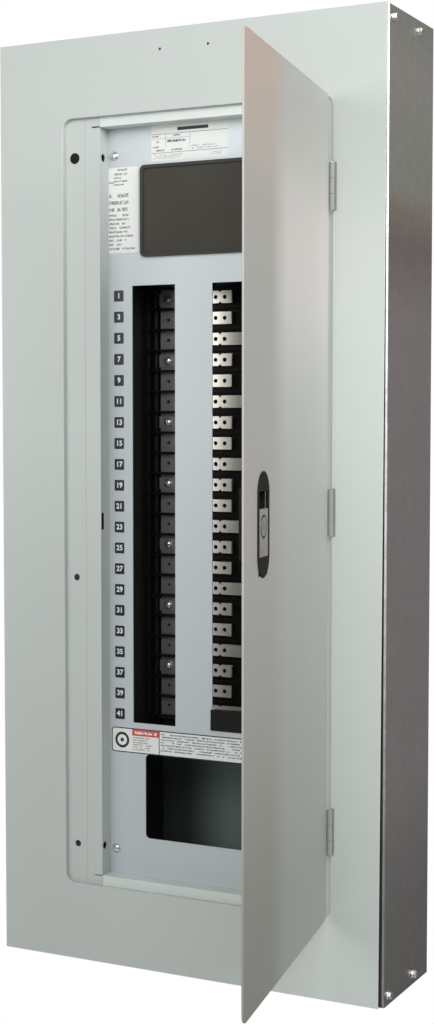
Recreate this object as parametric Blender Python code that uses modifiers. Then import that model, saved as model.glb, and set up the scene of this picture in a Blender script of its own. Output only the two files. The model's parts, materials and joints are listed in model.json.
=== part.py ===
"""Surface-mounted circuit panel: galvanised box, flat front with a hinged door, dead front and bus bars.

Metres, +Z up. The origin is the centre of the box's back face, on the wall. +Y runs into the wall
and the front faces -Y. The door hangs on the right and stands open at DOOR_REST.
"""

from math import cos, pi, radians, sin

import bmesh
import bpy
from mathutils import Matrix, Vector

# Overall sizes
WIDTH, HEIGHT, DEPTH = 0.508, 1.1176, 0.146
GAP = 0.0003
PITCH = 0.0254
ROWS = 21
ROWS_MIDDLE = -0.0010

# Box
BOX_HALF_WIDTH, BOX_HALF_HEIGHT = 0.253, 0.5578
BOX_SHEET = 0.0016
BOX_FRONT = -0.1429
BOX_LIP = 0.020
END_WALL_DEPTH = 0.030
END_SCREW_Z = 0.0125
END_SCREW_Y = (-0.1315, -0.051)
END_SCREW_HOLE = 0.0028
END_SCREW_PROFILE = ((0, 0.0030), (0.0042, 0.0030), (0.0046, 0.0012), (0.0058, 0.0010), (0.0058, GAP),
                     (0.0024, GAP), (0.0024, -0.0080), (0, -0.0080))
WALL_HOLE_X, WALL_HOLE_Z, WALL_HOLE_RADIUS = 0.200, 0.480, 0.0028

# Front trim and the frame behind its opening
TRIM_SHEET = 0.0019
OPENING_LEFT, OPENING_RIGHT, OPENING_HALF_HEIGHT = -0.1650, 0.1880, 0.4643
OPENING_CORNER = 0.012
HINGE_NOTCH_DEPTH, HINGE_NOTCH_HALF_HEIGHT = 0.0042, 0.0268
TRIM_HOLE_X, TRIM_HOLE_Z, TRIM_HOLE_RADIUS = 0.0315, 0.5352, 0.0016
FRAME_FRONT, FRAME_SHEET = -0.1400, 0.0015
FRAME_HALF_WIDTH, FRAME_HALF_HEIGHT = 0.1168, 0.4525
FRAME_LAP = 0.020
STILE_HALF_HEIGHT = OPENING_HALF_HEIGHT + FRAME_LAP
FASTENER_X = 0.1513
PLUG_Z, CLAMP_ZS = 0.4178, (-0.0879, -0.4168)
PLUG_HOLE_RADIUS, CLAMP_HOLE_RADIUS = 0.0043, 0.0040
RETURN_HOLES = ((-0.1310, 0.4172), (-0.1330, -0.4168))
RETURN_HOLE_RADIUS = 0.0046
STRIKE_Z, STRIKE_HALF_HEIGHT = -0.0188, 0.0100
STRIKE_Y = (-0.1383, -0.1312)

# Dead front
DEAD_FRONT, DEAD_SHEET = -0.1200, 0.0016
DEAD_HALF_WIDTH, DEAD_HALF_HEIGHT = 0.124, 0.462
SLOT_LEFT, SLOT_RIGHT = (-0.084, -0.0258), (0.0240, 0.084)
SLOT_HALF_HEIGHT = 0.2645
MAIN_HALF_WIDTH, MAIN_BOTTOM, MAIN_TOP = 0.0640, 0.3050, 0.4000
LOWER_HALF_WIDTH, LOWER_BOTTOM, LOWER_TOP = 0.0670, -0.4052, -0.3022
OPENING_RADIUS = 0.0055
DEAD_SCREW_X, DEAD_SCREW_ZS = 0.1080, (0.4202, -0.4223)
DEAD_SCREW_HOLE = 0.0026
FILLER_HALF_WIDTH, FILLER_BOTTOM, FILLER_TOP = 0.0710, 0.2982, 0.4067
FILLER_RIM, FILLER_THICK = 0.0040, 0.0020
POLE_FILLER = (0.0226, 0.0850, -0.2650, -0.2400)

# Interior
RAIL_WEB_X, RAIL_FLANGE_X, RAIL_HALF_HEIGHT = 0.10225, 0.1240, 0.452
STEEL_SHEET = 0.0015
PAN_X, PAN_Y, PAN_HALF_HEIGHT = 0.1003, -0.01325, 0.4500
BASE_HALF_WIDTH, BASE_FRONT, BASE_BACK, BASE_WALL = 0.0943, -0.0357, -0.0143, 0.003
BASE_BOTTOM, BASE_TOP = -0.275, 0.3950
BAR_X, BAR_HALF_WIDTH = 0.078, 0.011
BAR_FRONT, BAR_BACK = -0.0400, -0.0360
BAR_BOTTOM, BAR_TOP = -0.2720, 0.3920
STAB_PLANE, STAB_THICK = -0.0508, 0.0024
STAB_HALF_HEIGHT, STAB_END = 0.0075, 0.0165
STAB_HOLE_X, STAB_HOLE_RADIUS, STAB_NOTCH = 0.0061, 0.0026, 0.0022
BAR_HOLE_RADIUS = 0.0022
COVER_FRONT, COVER_BACK = -0.0490, -0.0403
COVER_FIN, COVER_POST = 0.0032, 0.0030
COVER_FLOOR, COVER_MIDDLE = (-0.0441, -0.0405), 0.0535
STEM_HALF_WIDTH, STEM_ROOM = 0.0060, 0.0008
MOUNT_RAIL_X, MOUNT_RAIL_WIDTH, MOUNT_RAIL_FRONT = 0.0983, 0.0050, -0.0600
LUG_HALF_WIDTH, LUG_FRONT, LUG_BOTTOM, LUG_TOP = 0.0125, -0.0690, 0.3300, 0.3850
LUG_WIRE_RADIUS, LUG_SCREW_RADIUS = 0.0075, 0.0060
GUTTER_BAR_X, GUTTER_BAR_HALF_WIDTH = 0.190, 0.0070
GUTTER_BAR_FRONT, GUTTER_BAR_BACK = -0.0290, -0.0160
NEUTRAL_Z, GROUND_Z = (-0.400, -0.120), (-0.400, -0.220)
WIRE_HOLE_PITCH, WIRE_HOLE_RADIUS = 0.0140, 0.0027

# Door, closed, and the hinge that carries it
DOOR_LEFT, DOOR_RIGHT, DOOR_HALF_HEIGHT = -0.1638, 0.1865, 0.4631
DOOR_FRONT, DOOR_SHEET, DOOR_CORNER = -0.1465, 0.0020, 0.010
DOOR_REST = radians(100.5)
HINGE_AXIS = Vector((0.1883, -0.1495, 0.0))
HINGE_ZS = (-0.363, 0.0, 0.363)
HINGE_HALF_HEIGHT, KNUCKLE_HALF_HEIGHT = 0.0260, 0.0086
KNUCKLE_RADIUS, PIN_RADIUS, BORE_RADIUS = 0.0032, 0.0015, 0.00168
LEAF_THICK, LEAF_REACH, FRAME_LEAF_OFFSET = 0.0012, 0.0200, 0.0017

# Slide latch, with the door closed
LATCH_X, LATCH_Z = -0.0950, 0.0042
ESCUTCHEON_HALF_WIDTH, ESCUTCHEON_HALF_HEIGHT = 0.0215, 0.0515
ESCUTCHEON_FRONT = -0.1493
RECESS_BOTTOM, RECESS_TOP, RECESS_HALF_WIDTH = -0.0271, 0.0364, 0.0158
SLIDER_BOTTOM, SLIDER_TOP, SLIDER_HALF_WIDTH = -0.0268, 0.0192, 0.0155
SLIDER_FRONT, SLIDER_BACK = -0.1489, -0.1432
LOCK_Z, LOCK_RADIUS, LOCK_BORE = 0.0022, 0.0105, 0.0109
LOCK_FRONT, LOCK_BACK = -0.1494, -0.1390
KEYWAY = (0.0012, 0.0090, 0.0030)
CASE_HALF_WIDTH, CASE_BOTTOM, CASE_TOP, CASE_BACK, CASE_WALL = 0.0172, -0.0297, 0.0400, -0.1270, 0.0012
BOLT_TIP, BOLT_TAIL = -0.1135, -0.0850
BOLT_Z, BOLT_HALF_HEIGHT = -0.0188, 0.0070
BOLT_FRONT, BOLT_BACK = -0.1375, -0.1325

# Directory holder on the door's inner face
CARD_X, CARD_Z, CARD_HALF_WIDTH, CARD_HALF_HEIGHT = 0.0350, 0.1200, 0.0850, 0.1200
HOLDER_WALL, HOLDER_LIP = 0.0030, 0.0070
HOLDER_BACK, HOLDER_FRONT, CARD_THICK = -0.1442, -0.1410, 0.0004

ENCLOSURE_PAINT = ("enclosure_paint", (0.56, 0.60, 0.58), 0.42, 0.0)
DEAD_FRONT_PAINT = ("dead_front_paint", (0.55, 0.59, 0.62), 0.38, 0.0)
GALVANISED = ("galvanised_steel", (0.42, 0.42, 0.42), 0.38, 0.9)
DARK_STEEL = ("dark_steel", (0.030, 0.034, 0.032), 0.50, 0.4)
ZINC_PLATE = ("zinc_plate", (0.62, 0.62, 0.60), 0.30, 1.0)
TIN_PLATE = ("tin_plate", (0.78, 0.75, 0.68), 0.32, 0.9)
BLACK_PLASTIC = ("black_plastic", (0.020, 0.020, 0.019), 0.45, 0.0)
LATCH_METAL = ("latch_metal", (0.58, 0.56, 0.53), 0.35, 1.0)
CARD_STOCK = ("card_stock", (0.80, 0.79, 0.75), 0.80, 0.0)
LUG_ALUMINIUM = ("lug_aluminium", (0.68, 0.68, 0.68), 0.35, 1.0)


def row_z(row):
    """Height of a circuit row, counted from 0 at the top."""
    return ROWS_MIDDLE + ((ROWS - 1) / 2 - row) * PITCH


def start_scene():
    for found in list(bpy.data.objects):
        bpy.data.objects.remove(found)
    collections = []
    for name in ("circuit_panel", "cutters"):
        made = bpy.data.collections.new(name)
        bpy.context.scene.collection.children.link(made)
        collections.append(made)
    return collections


def material(finish):
    name, colour, roughness, metallic = finish
    made = bpy.data.materials.new(name)
    made.use_nodes = True
    shader = made.node_tree.nodes["Principled BSDF"]
    shader.inputs["Base Color"].default_value = (*colour, 1)
    shader.inputs["Roughness"].default_value = roughness
    shader.inputs["Metallic"].default_value = metallic
    return made


def object_of(name, solid, finish):
    """An object from a bmesh, in the panel's collection, with a material of its own."""
    mesh = bpy.data.meshes.new(name)
    solid.to_mesh(mesh)
    solid.free()
    made = bpy.data.objects.new(name, mesh)
    PARTS.objects.link(made)
    mesh.materials.append(material(finish))
    return made


def helper_of(name, solid):
    """A hidden object that cuts or joins another."""
    mesh = bpy.data.meshes.new(name)
    solid.to_mesh(mesh)
    solid.free()
    made = bpy.data.objects.new(name, mesh)
    CUTTERS.objects.link(made)
    made.hide_render = True
    made.display_type = "WIRE"
    return made


def combine(target, helper, operation):
    step = target.modifiers.new(helper.name, "BOOLEAN")
    step.object = helper
    step.operation = operation
    step.solver = "EXACT"


def add_block(solid, low, high):
    low, high = Vector(low), Vector(high)
    place = Matrix.Translation((low + high) / 2) @ Matrix.Diagonal((*(high - low), 1))
    bmesh.ops.create_cube(solid, size=1, matrix=place)


def add_rod(solid, start, end, radius, sides=16):
    start, end = Vector(start), Vector(end)
    turn = (end - start).to_track_quat("Z", "Y").to_matrix().to_4x4()
    place = Matrix.Translation((start + end) / 2) @ turn
    bmesh.ops.create_cone(
        solid, cap_ends=True, segments=sides, radius1=radius, radius2=radius,
        depth=(end - start).length, matrix=place)


def add_prism(solid, outline, low_z, high_z):
    """A flat outline of (x, y) points, extruded upwards."""
    face = solid.faces.new([solid.verts.new((x, y, low_z)) for x, y in outline])
    raised = bmesh.ops.extrude_face_region(solid, geom=[face])["geom"]
    corners = [item for item in raised if isinstance(item, bmesh.types.BMVert)]
    bmesh.ops.translate(solid, verts=corners, vec=(0, 0, high_z - low_z))
    bmesh.ops.recalc_face_normals(solid, faces=solid.faces)


def block(name, low, high, finish):
    solid = bmesh.new()
    add_block(solid, low, high)
    return object_of(name, solid, finish)


def add_walls(target, thickness, offset):
    walls = target.modifiers.new("walls", "SOLIDIFY")
    walls.thickness = thickness
    walls.offset = offset
    walls.use_even_offset = True


def folded_sheet(name, path, low_z, high_z, thickness, finish):
    """Sheet metal folded along a path of (x, y) points and running upwards."""
    surface = bmesh.new()
    rows = [[surface.verts.new((x, y, z)) for x, y in path] for z in (low_z, high_z)]
    for i in range(len(path) - 1):
        surface.faces.new((rows[0][i], rows[0][i + 1], rows[1][i + 1], rows[1][i]))
    made = object_of(name, surface, finish)
    add_walls(made, thickness, 0)
    return made


def tray(name, low, high, open_side, thickness, finish):
    """A box with one side left out, with walls inwards from its outer faces."""
    surface = bmesh.new()
    add_block(surface, low, high)
    lid = max(surface.faces, key=lambda face: face.normal.dot(Vector(open_side)))
    bmesh.ops.delete(surface, geom=[lid], context="FACES_ONLY")
    made = object_of(name, surface, finish)
    add_walls(made, thickness, -1)
    return made


def rounded_loop(left, right, bottom, top, radius, steps=4):
    """A rectangle's (x, z) outline with round corners."""
    points = []
    centres = ((right - radius, top - radius), (left + radius, top - radius),
               (left + radius, bottom + radius), (right - radius, bottom + radius))
    for corner, (x, z) in enumerate(centres):
        for step in range(steps + 1):
            angle = (corner + step / steps) * pi / 2
            points.append((x + radius * cos(angle), z + radius * sin(angle)))
    return points


def square_loop(left, right, bottom, top):
    return [(right, top), (left, top), (left, bottom), (right, bottom)]


def round_loop(x, z, radius, sides=12):
    return [(x + radius * cos(2 * pi * i / sides), z + radius * sin(2 * pi * i / sides))
            for i in range(sides)]


def facing_sheet(name, outline, openings, front, thickness, finish, flange=0.0):
    """A flat sheet that faces -Y, with openings; the first opening's edge is flanged backwards."""
    surface = bmesh.new()
    edges = []
    for loop in (outline, *openings):
        corners = [surface.verts.new((x, front, z)) for x, z in loop]
        edges.append([surface.edges.new((corners[i - 1], corners[i])) for i in range(len(corners))])
    bmesh.ops.triangle_fill(surface, use_beauty=True, edges=sum(edges, []))
    if flange:
        turned = bmesh.ops.extrude_edge_only(surface, edges=edges[1])["geom"]
        corners = [item for item in turned if isinstance(item, bmesh.types.BMVert)]
        bmesh.ops.translate(surface, verts=corners, vec=(0, flange, 0))
    bmesh.ops.recalc_face_normals(surface, faces=surface.faces)
    flat = max(surface.faces, key=lambda face: abs(face.normal.y))
    if flat.normal.y > 0:
        bmesh.ops.reverse_faces(surface, faces=surface.faces)
    made = object_of(name, surface, finish)
    add_walls(made, thickness, -1)
    return made


def turned(name, profile, sides, finish):
    """A solid of revolution about Z; the profile's (radius, z) points run from its top to its foot."""
    outline = bmesh.new()
    corners = [outline.verts.new((radius, 0, z)) for radius, z in profile]
    for upper, lower in zip(corners, corners[1:]):
        outline.edges.new((upper, lower))
    made = object_of(name, outline, finish)
    spin = made.modifiers.new("turn", "SCREW")
    spin.steps = spin.render_steps = sides
    spin.use_merge_vertices = True
    spin.merge_threshold = 0.00001
    made.data.shade_smooth()
    return made


# Box -------------------------------------------------------------------------------------------


def box_wrap():
    side = BOX_HALF_WIDTH - BOX_SHEET / 2
    front, back = BOX_FRONT + BOX_SHEET / 2, -BOX_SHEET / 2
    lip = BOX_HALF_WIDTH - BOX_LIP
    path = [(-lip, front), (-side, front), (-side, back), (side, back), (side, front), (lip, front)]
    wrap = folded_sheet("box_wrap", path, -BOX_HALF_HEIGHT, BOX_HALF_HEIGHT, BOX_SHEET, GALVANISED)
    holes = bmesh.new()
    for x, y, z, outwards in end_screw_places():
        add_rod(holes, (x - outwards * 0.006, y, z), (x + outwards * 0.006, y, z), END_SCREW_HOLE, 12)
    for x in (-WALL_HOLE_X, WALL_HOLE_X):
        for z in (-WALL_HOLE_Z, WALL_HOLE_Z):
            add_rod(holes, (x, -0.006, z), (x, 0.006, z), WALL_HOLE_RADIUS)
    combine(wrap, helper_of("box_holes", holes), "DIFFERENCE")


def end_screw_places():
    """Each side screw's place on the box's side and the way it faces, top ones first."""
    for outwards in (1, -1):
        for z in (BOX_HALF_HEIGHT - END_SCREW_Z, END_SCREW_Z - BOX_HALF_HEIGHT):
            for y in END_SCREW_Y:
                yield outwards * BOX_HALF_WIDTH, y, z, outwards


def end_walls():
    inner = BOX_HALF_WIDTH - BOX_SHEET - GAP
    front, back = BOX_FRONT + BOX_SHEET + GAP, -BOX_SHEET - GAP
    for name, up in (("top_end_wall", 1), ("bottom_end_wall", -1)):
        levels = sorted((up * BOX_HALF_HEIGHT, up * (BOX_HALF_HEIGHT - END_WALL_DEPTH)))
        wall = tray(name, (-inner, front, levels[0]), (inner, back, levels[1]), (0, 0, -up),
                    BOX_SHEET, GALVANISED)
        holes = bmesh.new()
        for x, y, z, outwards in end_screw_places():
            if z * up > 0:
                reach = x - outwards * 0.006
                add_rod(holes, (reach, y, z), (x + outwards * 0.002, y, z), END_SCREW_HOLE, 12)
        combine(wall, helper_of(f"{name}_holes", holes), "DIFFERENCE")


def end_wall_screws():
    for number, (x, y, z, outwards) in enumerate(end_screw_places(), 1):
        screw = turned(f"end_wall_screw_{number}", END_SCREW_PROFILE, 12, ZINC_PLATE)
        screw.location = (x, y, z)
        screw.rotation_euler = (0, outwards * pi / 2, 0)


# Front trim and its frame ----------------------------------------------------------------------


def front_trim():
    outline = square_loop(-WIDTH / 2, WIDTH / 2, -HEIGHT / 2, HEIGHT / 2)
    opening = rounded_loop(OPENING_LEFT, OPENING_RIGHT, -OPENING_HALF_HEIGHT, OPENING_HALF_HEIGHT,
                           OPENING_CORNER, 6)
    edge, bottom_of_notch = OPENING_RIGHT, OPENING_RIGHT + HINGE_NOTCH_DEPTH
    for z in HINGE_ZS:
        low, high = z - HINGE_NOTCH_HALF_HEIGHT, z + HINGE_NOTCH_HALF_HEIGHT
        opening += [(edge, low), (bottom_of_notch, low), (bottom_of_notch, high), (edge, high)]
    holes = [round_loop(x, TRIM_HOLE_Z, TRIM_HOLE_RADIUS, 8) for x in (-TRIM_HOLE_X, TRIM_HOLE_X)]
    flange = FRAME_FRONT - GAP + DEPTH
    facing_sheet("front_trim", outline, [opening, *holes], -DEPTH, TRIM_SHEET, ENCLOSURE_PAINT, flange)


def frame_stile(name, side, edge):
    """One side of the frame: a flat ledge and a return flange that reaches back to the dead front."""
    front = FRAME_FRONT + FRAME_SHEET / 2
    inner = FRAME_HALF_WIDTH + FRAME_SHEET / 2
    path = [(side * (edge + FRAME_LAP), front), (side * inner, front), (side * inner, DEAD_FRONT - GAP)]
    stile = folded_sheet(name, path, -STILE_HALF_HEIGHT, STILE_HALF_HEIGHT, FRAME_SHEET,
                         ENCLOSURE_PAINT)
    holes = bmesh.new()
    for z in CLAMP_ZS:
        add_rod(holes, (side * FASTENER_X, -0.150, z), (side * FASTENER_X, -0.130, z),
                CLAMP_HOLE_RADIUS)
    for y, z in RETURN_HOLES:
        add_rod(holes, (side * (inner - 0.005), y, z), (side * (inner + 0.005), y, z),
                RETURN_HOLE_RADIUS, 12)
    if side < 0:
        add_rod(holes, (-FASTENER_X, -0.150, PLUG_Z), (-FASTENER_X, -0.130, PLUG_Z), PLUG_HOLE_RADIUS)
        add_block(holes, (-inner - 0.005, STRIKE_Y[0], STRIKE_Z - STRIKE_HALF_HEIGHT),
                  (-inner + 0.005, STRIKE_Y[1], STRIKE_Z + STRIKE_HALF_HEIGHT))
    combine(stile, helper_of(f"{name}_holes", holes), "DIFFERENCE")


def frame_rail(name, up):
    """The top or bottom of the frame: the same section, between the stiles."""
    front = FRAME_FRONT + FRAME_SHEET / 2
    inner = FRAME_HALF_HEIGHT + FRAME_SHEET / 2
    path = [(STILE_HALF_HEIGHT, front), (inner, front), (inner, DEAD_FRONT - GAP)]
    half_width = FRAME_HALF_WIDTH - GAP
    rail = folded_sheet(name, path, -half_width, half_width, FRAME_SHEET, ENCLOSURE_PAINT)
    rail.rotation_euler = (0, -up * pi / 2, 0)


def frame_fasteners():
    plug = turned("frame_plug", ((0, 0.0024), (0.0030, 0.0022), (0.0055, 0.0014), (0.0065, GAP),
                                 (0.0037, GAP), (0.0037, -0.0050), (0, -0.0050)), 16, BLACK_PLASTIC)
    plug.location = (-FASTENER_X, FRAME_FRONT, PLUG_Z)
    plug.rotation_euler = (pi / 2, 0, 0)
    clamp = ((0, -0.0006), (0.0035, -0.0006), (0.0035, -0.0018), (0.0064, -0.0018), (0.0064, -0.0034),
             (0.0020, -0.0034), (0.0020, -0.0180), (0, -0.0180))
    places = [(side * FASTENER_X, z) for side in (-1, 1) for z in CLAMP_ZS]
    for number, (x, z) in enumerate(places, 1):
        screw = turned(f"trim_clamp_screw_{number}", clamp, 14, ZINC_PLATE)
        screw.location = (x, FRAME_FRONT, z)
        screw.rotation_euler = (pi / 2, 0, 0)


# Dead front ------------------------------------------------------------------------------------


def dead_front():
    outline = square_loop(-DEAD_HALF_WIDTH, DEAD_HALF_WIDTH, -DEAD_HALF_HEIGHT, DEAD_HALF_HEIGHT)
    openings = [
        square_loop(*SLOT_LEFT, -SLOT_HALF_HEIGHT, SLOT_HALF_HEIGHT),
        square_loop(*SLOT_RIGHT, -SLOT_HALF_HEIGHT, SLOT_HALF_HEIGHT),
        rounded_loop(-MAIN_HALF_WIDTH, MAIN_HALF_WIDTH, MAIN_BOTTOM, MAIN_TOP, OPENING_RADIUS),
        rounded_loop(-LOWER_HALF_WIDTH, LOWER_HALF_WIDTH, LOWER_BOTTOM, LOWER_TOP, OPENING_RADIUS),
    ]
    openings += [round_loop(x, z, DEAD_SCREW_HOLE) for x, z in dead_screw_places()]
    facing_sheet("dead_front", outline, openings, DEAD_FRONT, DEAD_SHEET, DEAD_FRONT_PAINT)


def dead_screw_places():
    return [(x, z) for x in (-DEAD_SCREW_X, DEAD_SCREW_X) for z in DEAD_SCREW_ZS]


def dead_front_screws():
    profile = ((0, 0.0030), (0.0030, 0.0028), (0.0050, 0.0018), (0.0057, GAP), (0.0020, GAP),
               (0.0020, -0.0120), (0, -0.0120))
    for number, (x, z) in enumerate(dead_screw_places(), 1):
        screw = turned(f"dead_front_screw_{number}", profile, 14, ZINC_PLATE)
        screw.location = (x, DEAD_FRONT, z)
        screw.rotation_euler = (pi / 2, 0, 0)


def main_filler_plate():
    """The black plate over the main breaker's opening: a rim on a flat plate, with a spigot behind."""
    seat = DEAD_FRONT - GAP
    outline = rounded_loop(-FILLER_HALF_WIDTH, FILLER_HALF_WIDTH, FILLER_BOTTOM, FILLER_TOP, 0.006)
    inset = FILLER_RIM
    inner = rounded_loop(inset - FILLER_HALF_WIDTH, FILLER_HALF_WIDTH - inset, FILLER_BOTTOM + inset,
                         FILLER_TOP - inset, 0.004)
    plate = facing_sheet("main_filler_plate", outline, [inner], seat - 0.0040, 0.0040, BLACK_PLASTIC)
    field = bmesh.new()
    add_block(field, (inset / 2 - FILLER_HALF_WIDTH, seat - FILLER_THICK, FILLER_BOTTOM + inset / 2),
              (FILLER_HALF_WIDTH - inset / 2, seat - 0.0002, FILLER_TOP - inset / 2))
    combine(plate, helper_of("filler_field", field), "UNION")
    spigot = bmesh.new()
    add_block(spigot, (0.001 - MAIN_HALF_WIDTH, seat - 0.001, MAIN_BOTTOM + 0.008),
              (MAIN_HALF_WIDTH - 0.001, DEAD_FRONT + 0.006, MAIN_TOP - 0.008))
    combine(plate, helper_of("filler_spigot", spigot), "UNION")


def pole_filler_plate():
    left, right, bottom, top = POLE_FILLER
    seat = DEAD_FRONT - GAP
    plate = block("pole_filler_plate", (left, seat - 0.0020, bottom), (right, seat, top), BLACK_PLASTIC)
    body = bmesh.new()
    add_block(body, (SLOT_RIGHT[0] + 0.0006, seat - 0.001, bottom + 0.001),
              (SLOT_RIGHT[1] - 0.0006, DEAD_FRONT + 0.010, top - 0.001))
    combine(plate, helper_of("pole_filler_body", body), "UNION")


# Interior --------------------------------------------------------------------------------------


def chassis_rail(name, side):
    front = DEAD_FRONT + DEAD_SHEET + GAP + STEEL_SHEET / 2
    back = -BOX_SHEET - GAP - STEEL_SHEET / 2
    web, tip = side * RAIL_WEB_X, side * RAIL_FLANGE_X
    path = [(tip, front), (web, front), (web, back), (tip, back)]
    rail = folded_sheet(name, path, -RAIL_HALF_HEIGHT, RAIL_HALF_HEIGHT, STEEL_SHEET, DARK_STEEL)
    holes = bmesh.new()
    for x, z in dead_screw_places():
        if x * side > 0:
            add_rod(holes, (x, -0.125, z), (x, -0.110, z), DEAD_SCREW_HOLE, 12)
    combine(rail, helper_of(f"{name}_holes", holes), "DIFFERENCE")


def interior_pan():
    foot = -BOX_SHEET - GAP * 2
    path = [(-PAN_X, foot), (-PAN_X, PAN_Y), (PAN_X, PAN_Y), (PAN_X, foot)]
    folded_sheet("interior_pan", path, -PAN_HALF_HEIGHT, PAN_HALF_HEIGHT, STEEL_SHEET, DARK_STEEL)


def bus_insulators():
    tray("bus_insulator_base", (-BASE_HALF_WIDTH, BASE_FRONT, BASE_BOTTOM),
         (BASE_HALF_WIDTH, BASE_BACK, BASE_TOP), (0, 1, 0), BASE_WALL, BLACK_PLASTIC)
    openings = []
    post = COVER_MIDDLE + COVER_POST
    columns = ((COVER_POST - BASE_HALF_WIDTH, -post), (-COVER_MIDDLE, COVER_MIDDLE),
               (post, BASE_HALF_WIDTH - COVER_POST))
    for row in range(ROWS):
        half = (PITCH - COVER_FIN) / 2
        for left, right in columns:
            openings.append(square_loop(left, right, row_z(row) - half, row_z(row) + half))
    low, high = row_z(ROWS - 1) - PITCH / 2 - COVER_FIN / 2, row_z(0) + PITCH / 2 + COVER_FIN / 2
    outline = square_loop(-BASE_HALF_WIDTH, BASE_HALF_WIDTH, low, high)
    cover = facing_sheet("bus_insulator_cover", outline, openings, COVER_FRONT, COVER_BACK - COVER_FRONT,
                         BLACK_PLASTIC)
    floor, ways = bmesh.new(), bmesh.new()
    front, back = COVER_FLOOR
    reach = COVER_MIDDLE + COVER_POST * 0.4
    add_block(floor, (-reach, front, low + COVER_FIN * 0.4), (reach, back, high - COVER_FIN * 0.4))
    width, height = STEM_HALF_WIDTH + STEM_ROOM, STAB_HALF_HEIGHT + STEM_ROOM
    for row in range(1, ROWS, 3):
        z = row_z(row)
        add_block(ways, (-width, front - 0.001, z - height), (width, back + 0.001, z + height))
    combine(cover, helper_of("bus_cover_floor", floor), "UNION")
    combine(cover, helper_of("bus_cover_stem_ways", ways), "DIFFERENCE")


def breaker_mounting_rail(name, side):
    """The outer rail that each breaker's far end hooks on, with a ledge between rows."""
    half = MOUNT_RAIL_WIDTH / 2
    low, high = row_z(ROWS - 1) - PITCH * 0.7, row_z(0) + PITCH * 0.7
    rail = block(name, (side * MOUNT_RAIL_X - half, MOUNT_RAIL_FRONT, low),
                 (side * MOUNT_RAIL_X + half, BASE_BACK, high), BLACK_PLASTIC)
    ledges = bmesh.new()
    ends = sorted((side * (MOUNT_RAIL_X - 0.0075), side * (MOUNT_RAIL_X - 0.0020)))
    for row in range(ROWS + 1):
        z = row_z(row) + PITCH / 2
        add_block(ledges, (ends[0], MOUNT_RAIL_FRONT + 0.0008, z - 0.0008),
                  (ends[1], MOUNT_RAIL_FRONT + 0.0100, z + 0.0008))
    combine(rail, helper_of(f"{name}_ledges", ledges), "UNION")


def bus_bar(name, side, first_row):
    """A flat bar with a strap to the centre at every third row, or a standing tab on the middle bar."""
    x = side * BAR_X
    bar = block(name, (x - BAR_HALF_WIDTH, BAR_FRONT, BAR_BOTTOM), (x + BAR_HALF_WIDTH, BAR_BACK, BAR_TOP),
                TIN_PLATE)
    straps, holes = bmesh.new(), bmesh.new()
    half = STAB_THICK / 2
    for row in range(ROWS):
        z = row_z(row)
        if row % 3 == first_row:
            low_z, high_z = z - STAB_HALF_HEIGHT, z + STAB_HALF_HEIGHT
            add_prism(straps, strap_outline(side, half), low_z, high_z)
            for stab_x in (-STAB_HOLE_X, STAB_HOLE_X):
                add_rod(holes, (stab_x, STAB_PLANE - 0.004, z), (stab_x, STAB_PLANE + 0.004, z),
                        STAB_HOLE_RADIUS, 10)
            if side:
                add_notches(holes, z)
        elif side:
            add_rod(holes, (x, BAR_FRONT - 0.003, z), (x, BAR_BACK + 0.003, z), BAR_HOLE_RADIUS, 10)
    combine(bar, helper_of(f"{name}_straps", straps), "UNION")
    combine(bar, helper_of(f"{name}_holes", holes), "DIFFERENCE")


def strap_outline(side, half):
    """A strap's (x, y) section: a foot on the bar, a joggle forwards, and a flat pad at the centre."""
    front, back, foot = STAB_PLANE - half, STAB_PLANE + half, BAR_FRONT + GAP
    if not side:
        end, stem = STAB_END - 0.001, STEM_HALF_WIDTH
        return [(-end, front), (end, front), (end, back), (stem, back), (stem, foot), (-stem, foot),
                (-stem, back), (-end, back)]
    outer = BAR_X + BAR_HALF_WIDTH + 0.0008
    points = [(outer, foot), (outer, foot - STAB_THICK), (0.0672, foot - STAB_THICK), (0.0600, front),
              (-STAB_END, front), (-STAB_END, back), (0.0585, back), (0.0655, foot)]
    return [(side * x, y) for x, y in points]


def add_notches(holes, z):
    """A V cut in a pad's top and bottom edges, halfway between its two holes."""
    for up in (1, -1):
        edge = z + up * (STAB_HALF_HEIGHT + 0.001)
        tip = z + up * (STAB_HALF_HEIGHT - STAB_NOTCH)
        near, far = STAB_PLANE - 0.004, STAB_PLANE + 0.004
        rings = [[holes.verts.new((x, y, at)) for x, at in ((-0.0032, edge), (0.0032, edge), (0, tip))]
                 for y in (near, far)]
        faces = [holes.faces.new(rings[0]), holes.faces.new(rings[1][::-1])]
        for i in range(3):
            faces.append(holes.faces.new((rings[0][i - 1], rings[0][i], rings[1][i], rings[1][i - 1])))
        bmesh.ops.recalc_face_normals(holes, faces=faces)


def main_lug(name, x):
    """A set-screw lug on the bar's head: the cable goes in from the top."""
    lug = block(name, (x - LUG_HALF_WIDTH, LUG_FRONT, LUG_BOTTOM),
                (x + LUG_HALF_WIDTH, BAR_FRONT - GAP, LUG_TOP), LUG_ALUMINIUM)
    wire_y = (LUG_FRONT + BAR_FRONT) / 2 + 0.002
    wire = bmesh.new()
    add_rod(wire, (x, wire_y, LUG_BOTTOM - 0.002), (x, wire_y, LUG_TOP + 0.002), LUG_WIRE_RADIUS)
    combine(lug, helper_of(f"{name}_wire_way", wire), "DIFFERENCE")
    screws = bmesh.new()
    for z in (LUG_BOTTOM + 0.015, LUG_TOP - 0.015):
        add_rod(screws, (x, LUG_FRONT - 0.002, z), (x, wire_y, z), LUG_SCREW_RADIUS)
    combine(lug, helper_of(f"{name}_screw_ways", screws), "DIFFERENCE")


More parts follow.
